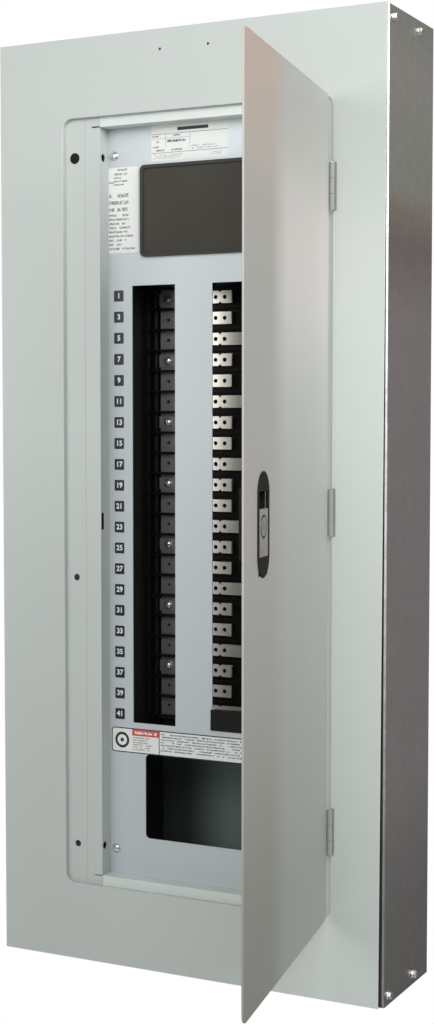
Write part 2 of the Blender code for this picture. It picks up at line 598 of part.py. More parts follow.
def gutter_bar(name, x, ends):
    """A terminal bar on two feet in a side gutter, drilled for wires along its length."""
    low_z, high_z = ends
    bar = block(name, (x - GUTTER_BAR_HALF_WIDTH, GUTTER_BAR_FRONT, low_z),
                (x + GUTTER_BAR_HALF_WIDTH, GUTTER_BAR_BACK, high_z), LUG_ALUMINIUM)
    feet, holes = bmesh.new(), bmesh.new()
    for z in (low_z + 0.012, high_z - 0.012):
        add_block(feet, (x - 0.005, GUTTER_BAR_BACK - 0.002, z - 0.006),
                  (x + 0.005, -BOX_SHEET - GAP, z + 0.006))
    combine(bar, helper_of(f"{name}_feet", feet), "UNION")
    reach = GUTTER_BAR_HALF_WIDTH + 0.002
    wire_y = (GUTTER_BAR_FRONT + GUTTER_BAR_BACK) / 2 - 0.001
    for number in range(int((high_z - low_z - 0.024) / WIRE_HOLE_PITCH)):
        z = low_z + 0.019 + number * WIRE_HOLE_PITCH
        add_rod(holes, (x - reach, wire_y, z), (x + reach, wire_y, z), WIRE_HOLE_RADIUS, 8)
    combine(bar, helper_of(f"{name}_wire_holes", holes), "DIFFERENCE")


# Door and hinges -------------------------------------------------------------------------------


def hang_on_door(piece):
    """Turns a piece, made in place on the closed door, with the door."""
    piece.parent = DOOR_TURN
    piece.matrix_parent_inverse = Matrix.Translation(-HINGE_AXIS)
    return piece


def door_panel():
    outline = rounded_loop(DOOR_LEFT, DOOR_RIGHT, -DOOR_HALF_HEIGHT, DOOR_HALF_HEIGHT, DOOR_CORNER, 6)
    half = RECESS_HALF_WIDTH + GAP
    window = square_loop(LATCH_X - half, LATCH_X + half, RECESS_BOTTOM - GAP, RECESS_TOP + GAP)
    hang_on_door(facing_sheet("door_panel", outline, [window], DOOR_FRONT, DOOR_SHEET, ENCLOSURE_PAINT))


def hinge(number, z):
    axis_x, axis_y = HINGE_AXIS.x, HINGE_AXIS.y
    low, high = z - HINGE_HALF_HEIGHT, z + HINGE_HALF_HEIGHT
    middle = KNUCKLE_HALF_HEIGHT

    frame_x = axis_x + FRAME_LEAF_OFFSET
    frame_leaf = block(f"hinge_frame_leaf_{number}", (frame_x - LEAF_THICK, axis_y, low),
                       (frame_x, FRAME_FRONT - 0.0005, high), ENCLOSURE_PAINT)
    knuckles = bmesh.new()
    for start, end in ((low, z - middle - GAP), (z + middle + GAP, high)):
        add_rod(knuckles, (axis_x, axis_y, start), (axis_x, axis_y, end), KNUCKLE_RADIUS)
    combine(frame_leaf, helper_of(f"frame_knuckles_{number}", knuckles), "UNION")
    notch = bmesh.new()
    add_block(notch, (axis_x - 0.004, axis_y - 0.004, z - middle - GAP),
              (axis_x + 0.004, axis_y + KNUCKLE_RADIUS + GAP, z + middle + GAP))
    combine(frame_leaf, helper_of(f"frame_notch_{number}", notch), "DIFFERENCE")

    door_x, door_back = DOOR_RIGHT + GAP, DOOR_FRONT + DOOR_SHEET + GAP
    door_leaf = block(f"hinge_door_leaf_{number}", (door_x, axis_y, low),
                      (door_x + LEAF_THICK, door_back + LEAF_THICK, high), ENCLOSURE_PAINT)
    plate = bmesh.new()
    add_block(plate, (DOOR_RIGHT - LEAF_REACH, door_back, low + GAP),
              (door_x + LEAF_THICK / 2, door_back + LEAF_THICK - GAP / 3, high - GAP))
    combine(door_leaf, hang_on_door(helper_of(f"door_leaf_plate_{number}", plate)), "UNION")
    notches = bmesh.new()
    for start, end in ((low - 0.002, z - middle), (z + middle, high + 0.002)):
        add_block(notches, (axis_x - 0.004, axis_y - 0.004, start),
                  (axis_x + 0.004, axis_y + KNUCKLE_RADIUS + 2 * GAP, end))
    combine(door_leaf, hang_on_door(helper_of(f"door_notches_{number}", notches)), "DIFFERENCE")
    knuckle = bmesh.new()
    add_rod(knuckle, (axis_x, axis_y, z - middle), (axis_x, axis_y, z + middle), KNUCKLE_RADIUS)
    combine(door_leaf, hang_on_door(helper_of(f"door_knuckle_{number}", knuckle)), "UNION")
    hang_on_door(door_leaf)

    for leaf in (frame_leaf, door_leaf):
        bore = bmesh.new()
        add_rod(bore, (axis_x, axis_y, low - 0.005), (axis_x, axis_y, high + 0.005), BORE_RADIUS)
        combine(leaf, helper_of(f"{leaf.name}_bore", bore), "DIFFERENCE")

    pin = bmesh.new()
    add_rod(pin, (axis_x, axis_y, low - 0.001), (axis_x, axis_y, high + 0.001), PIN_RADIUS)
    object_of(f"hinge_pin_{number}", pin, ZINC_PLATE)


# Latch -----------------------------------------------------------------------------------------


def latch_escutcheon():
    radius = ESCUTCHEON_HALF_WIDTH
    outline = rounded_loop(LATCH_X - radius, LATCH_X + radius, LATCH_Z - ESCUTCHEON_HALF_HEIGHT,
                           LATCH_Z + ESCUTCHEON_HALF_HEIGHT, radius - 0.0002, 8)
    recess = square_loop(LATCH_X - RECESS_HALF_WIDTH, LATCH_X + RECESS_HALF_WIDTH, RECESS_BOTTOM,
                         RECESS_TOP)
    thickness = DOOR_FRONT - GAP - ESCUTCHEON_FRONT
    plate = facing_sheet("latch_escutcheon", outline, [recess], ESCUTCHEON_FRONT, thickness,
                         BLACK_PLASTIC)
    hang_on_door(plate)


def latch_case():
    """The housing behind the door, open at the front, with a slot for the bolt."""
    case = tray("latch_case", (LATCH_X - CASE_HALF_WIDTH, DOOR_FRONT + DOOR_SHEET + GAP, CASE_BOTTOM),
                (LATCH_X + CASE_HALF_WIDTH, CASE_BACK, CASE_TOP), (0, -1, 0), CASE_WALL, BLACK_PLASTIC)
    slot = bmesh.new()
    add_block(slot, (LATCH_X - CASE_HALF_WIDTH - 0.002, BOLT_FRONT - 0.0004,
                     BOLT_Z - BOLT_HALF_HEIGHT - 0.0004),
              (LATCH_X - CASE_HALF_WIDTH + 0.003, BOLT_BACK + 0.0004, BOLT_Z + BOLT_HALF_HEIGHT + 0.0004))
    combine(case, hang_on_door(helper_of("latch_bolt_slot", slot)), "DIFFERENCE")
    hang_on_door(case)


def latch_slider():
    slider = block("latch_slider", (LATCH_X - SLIDER_HALF_WIDTH, SLIDER_FRONT, SLIDER_BOTTOM),
                   (LATCH_X + SLIDER_HALF_WIDTH, SLIDER_BACK, SLIDER_TOP), LATCH_METAL)
    bore = bmesh.new()
    add_rod(bore, (LATCH_X, SLIDER_FRONT - 0.003, LOCK_Z), (LATCH_X, SLIDER_BACK + 0.003, LOCK_Z),
            LOCK_BORE, 24)
    combine(slider, hang_on_door(helper_of("slider_bore", bore)), "DIFFERENCE")
    hang_on_door(slider)


def lock_cylinder():
    """The key cylinder, with its origin on its own axis."""
    centre = Vector((LATCH_X, 0, LOCK_Z))
    solid = bmesh.new()
    add_rod(solid, (0, LOCK_FRONT, 0), (0, LOCK_BACK, 0), LOCK_RADIUS, 24)
    lock = object_of("lock_cylinder", solid, LATCH_METAL)
    lock.location = centre
    key = bmesh.new()
    width, height, depth = KEYWAY
    add_block(key, (-width / 2, LOCK_FRONT - 0.001, -height / 2), (width / 2, LOCK_FRONT + depth, height / 2))
    keyway = helper_of("keyway", key)
    keyway.location = centre
    combine(lock, hang_on_door(keyway), "DIFFERENCE")
    hang_on_door(lock)


def latch_bolt():
    """A flat bolt, its tip cut to a ramp on the side that meets the frame."""
    ramp = (BOLT_BACK - BOLT_FRONT) * 0.6
    solid = bmesh.new()
    outline = [(BOLT_TAIL, BOLT_FRONT), (BOLT_TAIL, BOLT_BACK), (BOLT_TIP + ramp, BOLT_BACK),
               (BOLT_TIP, BOLT_BACK - ramp), (BOLT_TIP, BOLT_FRONT)]
    add_prism(solid, outline, BOLT_Z - BOLT_HALF_HEIGHT, BOLT_Z + BOLT_HALF_HEIGHT)
    hang_on_door(object_of("latch_bolt", solid, LATCH_METAL))


# Directory -------------------------------------------------------------------------------------


def directory():
    """A frame that holds the circuit card on the door's inner face."""
    left, right = CARD_X - CARD_HALF_WIDTH, CARD_X + CARD_HALF_WIDTH
    bottom, top = CARD_Z - CARD_HALF_HEIGHT, CARD_Z + CARD_HALF_HEIGHT
    wall, lip = HOLDER_WALL, HOLDER_LIP
    outline = square_loop(left - wall, right + wall, bottom - wall, top + wall)
    holder = facing_sheet("directory_holder", outline, [square_loop(left, right, bottom, top)],
                          HOLDER_BACK, HOLDER_FRONT - HOLDER_BACK, BLACK_PLASTIC)
    window = bmesh.new()
    front, back = HOLDER_FRONT - 0.0009, HOLDER_FRONT - 0.0001
    inner_left, inner_right = left + lip, right - lip
    inner_bottom, inner_top = bottom + lip, top - lip
    strips = (((left - 0.001, bottom - 0.001), (inner_left, top + 0.001)),
              ((inner_right, bottom - 0.001), (right + 0.001, top + 0.001)))
    for (low_x, low_z), (high_x, high_z) in strips:
        add_block(window, (low_x, front, low_z), (high_x, back, high_z))
    combine(holder, hang_on_door(helper_of("directory_side_lips", window)), "UNION")
    ends = bmesh.new()
    for low_z, high_z in ((bottom - 0.001, inner_bottom), (inner_top, top + 0.001)):
        add_block(ends, (inner_left - 0.001, front + 0.0001, low_z),
                  (inner_right + 0.001, back - 0.0001, high_z))
    combine(holder, hang_on_door(helper_of("directory_end_lips", ends)), "UNION")
    hang_on_door(holder)
    card = block("directory_card", (left + 0.001, HOLDER_BACK + 0.0008, bottom + 0.001),
                 (right - 0.001, HOLDER_BACK + 0.0008 + CARD_THICK, top - 0.001), CARD_STOCK)
    hang_on_door(card)


PARTS, CUTTERS = start_scene()
DOOR_TURN = bpy.data.objects.new("door_turn", None)
PARTS.objects.link(DOOR_TURN)
DOOR_TURN.location = HINGE_AXIS
DOOR_TURN.rotation_euler = (0, 0, DOOR_REST)

box_wrap()
end_walls()
end_wall_screws()
front_trim()
frame_stile("frame_left_stile", -1, -OPENING_LEFT)
frame_stile("frame_right_stile", 1, OPENING_RIGHT)
frame_rail("frame_top_rail", 1)
frame_rail("frame_bottom_rail", -1)
frame_fasteners()
dead_front()
dead_front_screws()
main_filler_plate()
pole_filler_plate()
chassis_rail("chassis_rail_left", -1)
chassis_rail("chassis_rail_right", 1)
interior_pan()
bus_insulators()
breaker_mounting_rail("breaker_mounting_rail_left", -1)
breaker_mounting_rail("breaker_mounting_rail_right", 1)
for phase, bar_side, first in (("a", -1, 0), ("b", 0, 1), ("c", 1, 2)):
    bus_bar(f"bus_bar_{phase}", bar_side, first)
    main_lug(f"main_lug_{phase}", bar_side * BAR_X)
gutter_bar("neutral_bar", -GUTTER_BAR_X, NEUTRAL_Z)
gutter_bar("ground_bar", GUTTER_BAR_X, GROUND_Z)
door_panel()
for hinge_number, hinge_z in enumerate(HINGE_ZS, 1):
    hinge(hinge_number, hinge_z)
latch_escutcheon()
latch_case()
latch_slider()
lock_cylinder()
latch_bolt()
directory()
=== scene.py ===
# %% [markdown]
# # A wall-mounted circuit panel, with its door standing open
#
# The panel is a galvanised box with a painted flat front. Its door is open, so the eye goes past the
# door to the dead front, which is the inner cover with two slots for breakers, and through the slots
# to the bus bars. The shapes and the joints come from a fixed frame that is loaded here. This
# notebook gives the frame its surfaces: rounded folds, real screws, printed labels, paint and plating.

# %% Load the frame
import json
from math import cos, pi, radians, sin

import bmesh
import bpy
from mathutils import Matrix, Vector

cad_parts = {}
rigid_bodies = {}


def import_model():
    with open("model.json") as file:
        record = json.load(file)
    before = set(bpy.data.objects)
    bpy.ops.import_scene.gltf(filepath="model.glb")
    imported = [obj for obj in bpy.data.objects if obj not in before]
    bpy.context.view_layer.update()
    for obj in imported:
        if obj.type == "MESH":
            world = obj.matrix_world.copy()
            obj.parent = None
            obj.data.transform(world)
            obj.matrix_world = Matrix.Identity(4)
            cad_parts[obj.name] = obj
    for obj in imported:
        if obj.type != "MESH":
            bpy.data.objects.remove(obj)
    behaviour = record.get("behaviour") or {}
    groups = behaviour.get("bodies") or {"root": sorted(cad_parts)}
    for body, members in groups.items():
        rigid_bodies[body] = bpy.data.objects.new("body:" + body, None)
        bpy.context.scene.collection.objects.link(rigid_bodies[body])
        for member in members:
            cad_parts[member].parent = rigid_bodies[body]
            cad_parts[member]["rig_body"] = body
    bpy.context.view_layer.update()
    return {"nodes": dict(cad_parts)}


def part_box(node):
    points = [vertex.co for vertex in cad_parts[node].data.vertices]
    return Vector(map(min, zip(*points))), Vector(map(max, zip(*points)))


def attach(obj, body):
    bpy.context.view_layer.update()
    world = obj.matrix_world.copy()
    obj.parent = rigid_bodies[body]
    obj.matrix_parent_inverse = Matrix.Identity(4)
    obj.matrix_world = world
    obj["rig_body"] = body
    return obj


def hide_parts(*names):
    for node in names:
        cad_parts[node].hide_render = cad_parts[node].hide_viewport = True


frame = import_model()
NODES = frame["nodes"]
MM = 0.001

# %% [markdown]
# ## The camera
#
# The camera stands to the right of the panel, a little above its middle, so that one box side shows.
# It looks at the front at 27 degrees through a long lens, as a short one would bulge the open door.

# %% Place the camera
CAMERA_PLACE = (0.92982, -1.88766, 0.10749)
CAMERA_AZIMUTH, CAMERA_TILT = 0.470676, -0.056457
LENS, SENSOR = 59.21, 36.0


def place_camera():
    camera = bpy.data.objects.new("camera", bpy.data.cameras.new("camera"))
    bpy.context.scene.collection.objects.link(camera)
    camera.location = CAMERA_PLACE
    camera.rotation_euler = (pi / 2 + CAMERA_TILT, 0, CAMERA_AZIMUTH)
    camera.data.lens, camera.data.sensor_width = LENS, SENSOR
    bpy.context.scene.camera = camera
    print("camera with a lens of", LENS, "mm")


place_camera()

# %% [markdown]
# ## Studio light
#
# Four soft boxes light the panel, all aimed at its middle. The front lamp hangs high before it. The
# left lamp is weak, and stands where the bus bars' pads mirror it. The right lamp is strong, because
# it meets the front at a flat angle: it lights the box's side and the fold beside the front. The door
# lamp evens out the open door's face. The world gives a weak grey fill, and only the camera sees it
# as white: a white world would wash every shadow out of the slots. Colours are shown without a film
# curve, so that a paint's colour is what its value says.

# %% Make the world and the lamps
FILL = 0.19
AIM = (0.1, 0.0, 0.1)
LAMPS = {
    "front_lamp": {"place": (-0.2, -2.6, 0.7), "size": (1.6, 1.6), "watts": 12.0},
    "left_lamp": {"place": (-1.05, -1.85, 0.55), "size": (1.2, 1.1), "watts": 6.6},
    "right_lamp": {"place": (2.1, -1.2, 1.2), "size": (1.2, 1.2), "watts": 44.0},
    "door_lamp": {"place": (1.0, -2.3, 1.2), "size": (1.4, 1.2), "watts": 24.0},
}


def make_world():
    world = bpy.data.worlds.new("studio")
    bpy.context.scene.world = world
    world.use_nodes = True
    tree = world.node_tree
    fill = tree.nodes["Background"]
    fill.inputs["Color"].default_value = (0.97, 1.0, 0.99, 1)
    fill.inputs["Strength"].default_value = FILL
    backdrop = tree.nodes.new("ShaderNodeBackground")
    backdrop.inputs["Color"].default_value = (1, 1, 1, 1)
    choice, ray = tree.nodes.new("ShaderNodeMixShader"), tree.nodes.new("ShaderNodeLightPath")
    tree.links.new(ray.outputs["Is Camera Ray"], choice.inputs[0])
    tree.links.new(fill.outputs[0], choice.inputs[1])
    tree.links.new(backdrop.outputs[0], choice.inputs[2])
    tree.links.new(choice.outputs[0], tree.nodes["World Output"].inputs["Surface"])
    bpy.context.scene.view_settings.view_transform = "Standard"


def soft_box(name, place, size, watts):
    lamp = bpy.data.lights.new(name, "AREA")
    lamp.shape, lamp.size, lamp.size_y = "RECTANGLE", *size
    lamp.energy = watts
    holder = bpy.data.objects.new(name, lamp)
    bpy.context.scene.collection.objects.link(holder)
    holder.location = place
    holder.rotation_euler = (Vector(AIM) - Vector(place)).to_track_quat("-Z", "Y").to_euler()
    print(name, watts, "W")


make_world()
for lamp_name, lamp_facts in LAMPS.items():
    soft_box(lamp_name, **lamp_facts)

# %% [markdown]
# ## Materials as Python expressions
#
# A material is a graph of nodes, and maths in a graph is hard to read. `Level` wraps one number of
# the graph, so that `1 - mask` or `height * 0.3` adds the Math nodes by itself. A comparison such as
# `height > 0.2` gives a mask that is 1 where it holds, and masks are joined by multiplying them.

# %% Define the maths on sockets
class Level:
    """A number that changes over a surface."""

    def __init__(self, finish, socket):
        self.finish, self.socket = finish, socket

    def math(self, operation, first, second=0.0):
        return self.finish.node("ShaderNodeMath", {"operation": operation}, {0: first, 1: second})

    def __add__(self, other):
        return self.math("ADD", self, other)

    def __sub__(self, other):
        return self.math("SUBTRACT", self, other)

    def __rsub__(self, other):
        return self.math("SUBTRACT", other, self)

    def __mul__(self, other):
        return self.math("MULTIPLY", self, other)

    def __gt__(self, other):
        return self.math("GREATER_THAN", self, other)

    def __lt__(self, other):
        return self.math("LESS_THAN", self, other)

    __radd__, __rmul__ = __add__, __mul__

    def part(self):
        return self.math("FRACT", self)

    def whole(self):
        return self.math("FLOOR", self)

    def size(self):
        return self.math("ABSOLUTE", self)

    def between(self, low, high):
        return (self > low) * (self < high)

    def ramp(self, low, high):
        """0 below low, 1 above high, and a straight rise between them."""
        sockets = {"Value": self, "From Min": low, "From Max": high}
        return self.finish.node("ShaderNodeMapRange", {"clamp": True}, sockets)


# %% [markdown]
# ## A finish
#
# `Finish` is one material. Its `node` method makes any node, and the others name what a maker asks
# for, such as noise of a certain size. Patterns are laid in object coordinates, which are metres
# here, so they keep their size on every piece and stay on it when it moves.

# %% Define a finish
class Finish:
    """One material: a name, the record's slot it belongs to, and its shader."""

    def __init__(self, name, slot, colour, roughness, metallic=0.0):
        self.slot = slot
        self.material = bpy.data.materials.new(name)
        self.material.use_nodes = True
        self.tree = self.material.node_tree
        self.shader = self.tree.nodes["Principled BSDF"]
        self.set("Base Color", (*colour, 1))
        self.set("Roughness", roughness)
        self.set("Metallic", metallic)

    def set(self, name, value):
        self.feed(self.shader.inputs[name], value)

    def feed(self, socket, value):
        if isinstance(value, Level):
            self.tree.links.new(value.socket, socket)
        else:
            socket.default_value = value

    def node(self, kind, settings, sockets, output=0):
        made = self.tree.nodes.new(kind)
        for name, value in settings.items():
            setattr(made, name, value)
        for key, value in sockets.items():
            self.feed(made.inputs[key], value)
        return Level(self, made.outputs[output])

    def place(self):
        return self.node("ShaderNodeTexCoord", {}, {}, "Object")

    def along(self, axis):
        return self.node("ShaderNodeSeparateXYZ", {}, {0: self.place()}, axis)

    def noise(self, size, detail=2.0, stretch=(1, 1, 1)):
        """Soft noise whose blots are about size metres wide, longer where stretch is more than 1."""
        scale = [1 / (size * along) for along in stretch]
        place = self.node("ShaderNodeMapping", {}, {"Vector": self.place(), "Scale": scale})
        return self.node("ShaderNodeTexNoise", {}, {"Vector": place, "Scale": 1.0, "Detail": detail})

    def mix(self, factor, first, second):
        """The first colour where the factor is 0, and the second where it is 1."""
        before, after = [value if isinstance(value, Level) else (*value, 1) for value in (first, second)]
        return self.node("ShaderNodeMix", {"data_type": "RGBA"}, {0: factor, 6: before, 7: after}, 2)

    def far(self, across, up):
        """The distance from the point where both levels are 0."""
        return self.node("ShaderNodeMath", {"operation": "SQRT"}, {0: across * across + up * up})

    def gradient(self, level, stops):
        """A colour that runs through the stops, each a level and a colour."""
        low, high = stops[0][0], stops[-1][0]
        strip = self.node("ShaderNodeValToRGB", {}, {0: level.ramp(low, high)})
        elements = strip.socket.node.color_ramp.elements
        elements[0].color, elements[1].color = (*stops[0][1], 1), (*stops[-1][1], 1)
        for place, colour in stops[1:-1]:
            elements.new((place - low) / (high - low)).color = (*colour, 1)
        return strip

    def relief(self, height, depth):
        """Presses a pattern into the surface; depth is in metres."""
        self.set("Normal", self.node("ShaderNodeBump", {}, {"Height": height, "Distance": depth}))


def shade(colour, amount):
    return tuple(channel * amount for channel in colour)


# %% [markdown]
# ## Powder paint
#
# Powder paint is sprayed on dry and melted in an oven. Up close it has orange peel, a soft relief a
# millimetre or so wide, and from afar it is slightly cloudy. Both are noise. A Bump node is enough
# for the relief, because orange peel is too shallow to change an outline.

# %% Define powder paint
ENCLOSURE_GREY = (0.560, 0.600, 0.575)
DEAD_FRONT_GREY = (0.530, 0.575, 0.595)
CLOUD, GLOSS_PATCH = 90 * MM, 30 * MM
PEEL, PEEL_DEPTH = 1.1 * MM, 0.018 * MM


def powder_coat(name, slot, colour, roughness=0.42):
    """Orange peel and uneven gloss over one even colour."""
    finish = Finish(name, slot, colour, roughness)
    finish.set("Roughness", roughness + 0.10 * (finish.noise(GLOSS_PATCH, 3.0) - 0.5))
    finish.relief(finish.noise(PEEL, 1.0), PEEL_DEPTH)
    return finish


def cloudy_paint(name, slot, colour, roughness=0.42):
    finish = powder_coat(name, slot, colour, roughness)
    clouds = finish.mix(finish.noise(CLOUD, 3.0), shade(colour, 0.965), shade(colour, 1.035))
    finish.set("Base Color", clouds)
    return finish


enclosure_paint = cloudy_paint("enclosure_paint", "enclosure_paint", ENCLOSURE_GREY)
# The rails' paint is a lighter copy of the enclosure grey: painted light on rails that the front's edge
# shades.
lit_rail_paint = cloudy_paint("lit_rail_paint", "enclosure_paint", shade(ENCLOSURE_GREY, 1.22))
# The hinge leaves' paint is a darker copy of the enclosure grey: painted shade along the hinges.
shaded_leaf_paint = cloudy_paint("shaded_leaf_paint", "enclosure_paint", shade(ENCLOSURE_GREY, 0.52))
# The chassis rails' nearly black coat is painted shade: it stands for the shade deep inside the box.
rail_shade_coat = cloudy_paint("rail_shade_coat", "dark_steel", (0.009, 0.011, 0.009), 0.60)
print("paint clouds are", round(CLOUD / MM), "mm wide")

# %% [markdown]
# ## The door's paint
#
# A satin door mirrors the room in broad tones. There is no room here to mirror, so the tones are laid
# into the colour as two gradients up the door: a darker one for the half near its free edge, and one
# for the half near the hinge. Each stop is a height in metres and the colour there. The place along
# the door is worked out from X and Y, because the door stands open.

# %% Mix the door's paint
DOOR_TURN, HINGE_X, HINGE_Y = radians(100.5), 188.3 * MM, -149.5 * MM
LOCK_ALONG, LOCK_Z = 283.3 * MM, 2.2 * MM
HINGE_HALF, FREE_HALF = 190 * MM, 250 * MM
WINDOW_HALF_WIDTH, WINDOW_HALF_HEIGHT = 17 * MM, 45 * MM
FREE_SIDE = ((-0.42, (0.29, 0.28, 0.26)), (-0.33, (0.31, 0.31, 0.27)), (-0.25, (0.36, 0.35, 0.32)),
             (-0.16, (0.40, 0.40, 0.37)), (0.03, (0.45, 0.43, 0.41)), (0.22, (0.43, 0.43, 0.40)),
             (0.31, (0.45, 0.42, 0.39)), (0.35, (0.49, 0.45, 0.40)), (0.42, (0.53, 0.43, 0.37)))
HINGE_SIDE = ((-0.38, (0.35, 0.38, 0.34)), (-0.30, (0.39, 0.40, 0.37)), (-0.19, (0.42, 0.43, 0.40)),
              (0.02, (0.48, 0.49, 0.46)), (0.12, (0.53, 0.55, 0.51)), (0.23, (0.68, 0.65, 0.63)),
              (0.28, (0.69, 0.65, 0.62)), (0.33, (0.64, 0.61, 0.58)), (0.38, (0.53, 0.53, 0.49)),
              (0.43, (0.49, 0.49, 0.46)))


def along_door(finish):
    """The distance from the hinge, measured along the door."""
    across = (finish.along("X") - HINGE_X) * -cos(DOOR_TURN)
    return across + (finish.along("Y") - HINGE_Y) * -sin(DOOR_TURN)


def door_paint():
    """Darker near the free edge, bright near the hinge, and black in the window behind the latch, as painted
    shade.
    """
    finish = powder_coat("door_paint", "enclosure_paint", ENCLOSURE_GREY, 0.38)
    height = finish.along("Z") + 20 * MM * (finish.noise(250 * MM, 1.0) - 0.5)
    near_hinge = along_door(finish).ramp(FREE_HALF, HINGE_HALF)
    paint = finish.mix(near_hinge, finish.gradient(height, FREE_SIDE), finish.gradient(height, HINGE_SIDE))
    # The window behind the latch is painted black: painted shade in the hollow behind it.
    beside = (along_door(finish) - LOCK_ALONG).size() < WINDOW_HALF_WIDTH
    window = beside * (finish.along("Z").size() < WINDOW_HALF_HEIGHT)
    finish.set("Base Color", finish.mix(window, paint, (0.008, 0.008, 0.008)))
    return finish


door_finish = door_paint()
print("door tones:", len(FREE_SIDE), "near the free edge and", len(HINGE_SIDE), "near the hinge")

# %% [markdown]
# ## The front's and the frame's paint
#
# The front is one grey, a little paler just above its middle and beside the hinges, where the open
# door throws light on it. Its cut outer edges are painted dark, as the shade in the gap beside the
# box. The left stile shows the hairline where the frame's lining plate ends.

# %% Mix the front's and the frame's paint
FRONT_TONES = ((-0.56, 0.94), (-0.42, 0.97), (-0.25, 1.00), (-0.10, 1.04), (0.10, 1.13), (0.20, 1.08),
               (0.36, 0.94), (0.56, 0.94))
SEAM_X, SEAM_HALF_WIDTH = -137.5 * MM, 0.45 * MM
OUTER_EDGE, PAINT_EDGE = 240 * MM, 0.5 * MM


def front_grey(finish):
    height = finish.along("Z")
    stops = [(place, shade(ENCLOSURE_GREY, amount)) for place, amount in FRONT_TONES]
    beside_hinges = finish.along("X").ramp(160 * MM, 185 * MM) * (1 - height.size().ramp(0.30, 0.45))
    lit = finish.mix(0.32 * beside_hinges, finish.gradient(height, stops), shade(ENCLOSURE_GREY, 1.26))
    return finish.mix(0.2 * finish.noise(CLOUD, 3.0), lit, shade(ENCLOSURE_GREY, 1.10))


def stile_paint():
    finish = powder_coat("stile_paint", "enclosure_paint", ENCLOSURE_GREY)
    seam = (finish.along("X") - SEAM_X).size() < SEAM_HALF_WIDTH
    finish.set("Base Color", finish.mix(0.5 * seam, front_grey(finish), shade(ENCLOSURE_GREY, 0.55)))
    return finish


def trim_paint():
    finish = powder_coat("trim_paint", "enclosure_paint", ENCLOSURE_GREY)
    behind = finish.along("Y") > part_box("front_trim")[0].y + PAINT_EDGE
    # The cut outer edges are painted dark: painted shade in the gap between the front and the box.
    cut = behind * (finish.along("X").size() > OUTER_EDGE)
    finish.set("Base Color", finish.mix(cut, front_grey(finish), shade(ENCLOSURE_GREY, 0.30)))
    return finish


front_paint, left_stile_paint = trim_paint(), stile_paint()
print("front:", front_paint.material.name, "frame:", left_stile_paint.material.name)

# %% [markdown]
# ## The paints inside
#
# The dead front is bluer than the enclosure. Light falls in beside the open door, so the dead front
# glows a little towards its middle, and so does the pan that shows through its lower opening. The
# pan's dark tone is itself painted shade inside the box.

# %% Mix the paints inside
def inner_cover_paint():
    finish = powder_coat("dead_front_paint", "dead_front_paint", DEAD_FRONT_GREY, 0.36)
    glow = finish.along("X").ramp(-100 * MM, -20 * MM) * finish.along("Z").ramp(-0.35, 0.12)
    finish.set("Base Color", finish.mix(glow, DEAD_FRONT_GREY, shade(DEAD_FRONT_GREY, 1.30)))
    return finish


# The pan's dark base tone is painted shade inside the box; its lighter tone towards the middle is painted
# light falling in beside the door.
def pan_paint():
    shaded, lit = (0.028, 0.038, 0.034), (0.140, 0.190, 0.168)
    finish = powder_coat("pan_shade_coat", "dark_steel", shaded)
    finish.set("Base Color", finish.mix(finish.along("X").ramp(-65 * MM, -10 * MM), shaded, lit))
    return finish


dead_front_paint, pan_shade_coat = inner_cover_paint(), pan_paint()
print("inside:", dead_front_paint.material.name, pan_shade_coat.material.name)

# %% [markdown]
# ## Zinc, tin and bare metal
#
# Hot-dip galvanised sheet shows spangle: flat crystals, each with its own tone. A Voronoi pattern
# gives every crystal its value, which shifts the colour and the roughness. The tall side mirrors the
# room in broad bands, laid in as a gradient of heights in metres. The fold next to the front catches
# the light, and the lip in the front's shade is dark.
#
# Plated screws and tinned bars are smoother, with fine streaks along the way they were drawn. The
# latch's slider and key cylinder are castings with handling marks.

# %% Mix the metals
SIDE_TONES = ((-0.56, (0.285, 0.26, 0.25)), (-0.45, (0.32, 0.295, 0.29)), (-0.30, (0.475, 0.425, 0.43)),
              (0.22, (0.55, 0.47, 0.475)), (0.30, (0.395, 0.335, 0.32)), (0.335, (0.53, 0.43, 0.355)),
              (0.36, (0.595, 0.575, 0.515)), (0.50, (0.67, 0.64, 0.58)), (0.56, (0.56, 0.54, 0.485)))
SPANGLE, FOLD_AT, LIP_DEPTH = 9 * MM, 250.2 * MM, 1.3 * MM
FOLD_BRIGHT, FOLD_DIM, LIP_DARK = (0.95, 0.95, 0.93), (0.40, 0.40, 0.39), (0.08, 0.08, 0.08)
LIT_PAD_TIN, SHADED_BAR_TIN, STAIN = (0.95, 0.90, 0.82), (0.66, 0.69, 0.67), 6 * MM
RING_AT, RING_HALF, RIM_AT = 10.9 * MM, 0.9 * MM, 9.3 * MM
KEYWAY_HALF_WIDTH, KEYWAY_HALF_HEIGHT = 0.9 * MM, 4.6 * MM


def galvanised(front_y):
    finish = Finish("galvanised", "galvanised_steel", (0.30, 0.29, 0.27), 0.36, 0.85)
    sockets = {"Vector": finish.place(), "Scale": 1 / SPANGLE}
    crystal = finish.node("ShaderNodeTexVoronoi", {}, sockets, "Color")
    tone = finish.node("ShaderNodeSeparateColor", {}, {0: crystal}, 0)
    height = finish.along("Z") + 12 * MM * (finish.noise(150 * MM, 1.0) - 0.5)
    spangled = finish.mix(0.10 * tone, finish.gradient(height, SIDE_TONES), (0.55, 0.55, 0.53))
    at_front = finish.along("Y") < front_y + LIP_DEPTH
    bright = finish.mix(finish.along("Z").ramp(-0.10, -0.45), FOLD_BRIGHT, FOLD_DIM)
    fold = finish.mix(finish.along("X").size() > FOLD_AT, LIP_DARK, bright)
    finish.set("Base Color", finish.mix(at_front, spangled, fold))
    finish.set("Roughness", 0.30 + 0.10 * tone + 0.06 * (finish.noise(40 * MM, 2.0) - 0.5))
    finish.relief(finish.noise(1.5 * MM, 2.0), 0.01 * MM)
    return finish


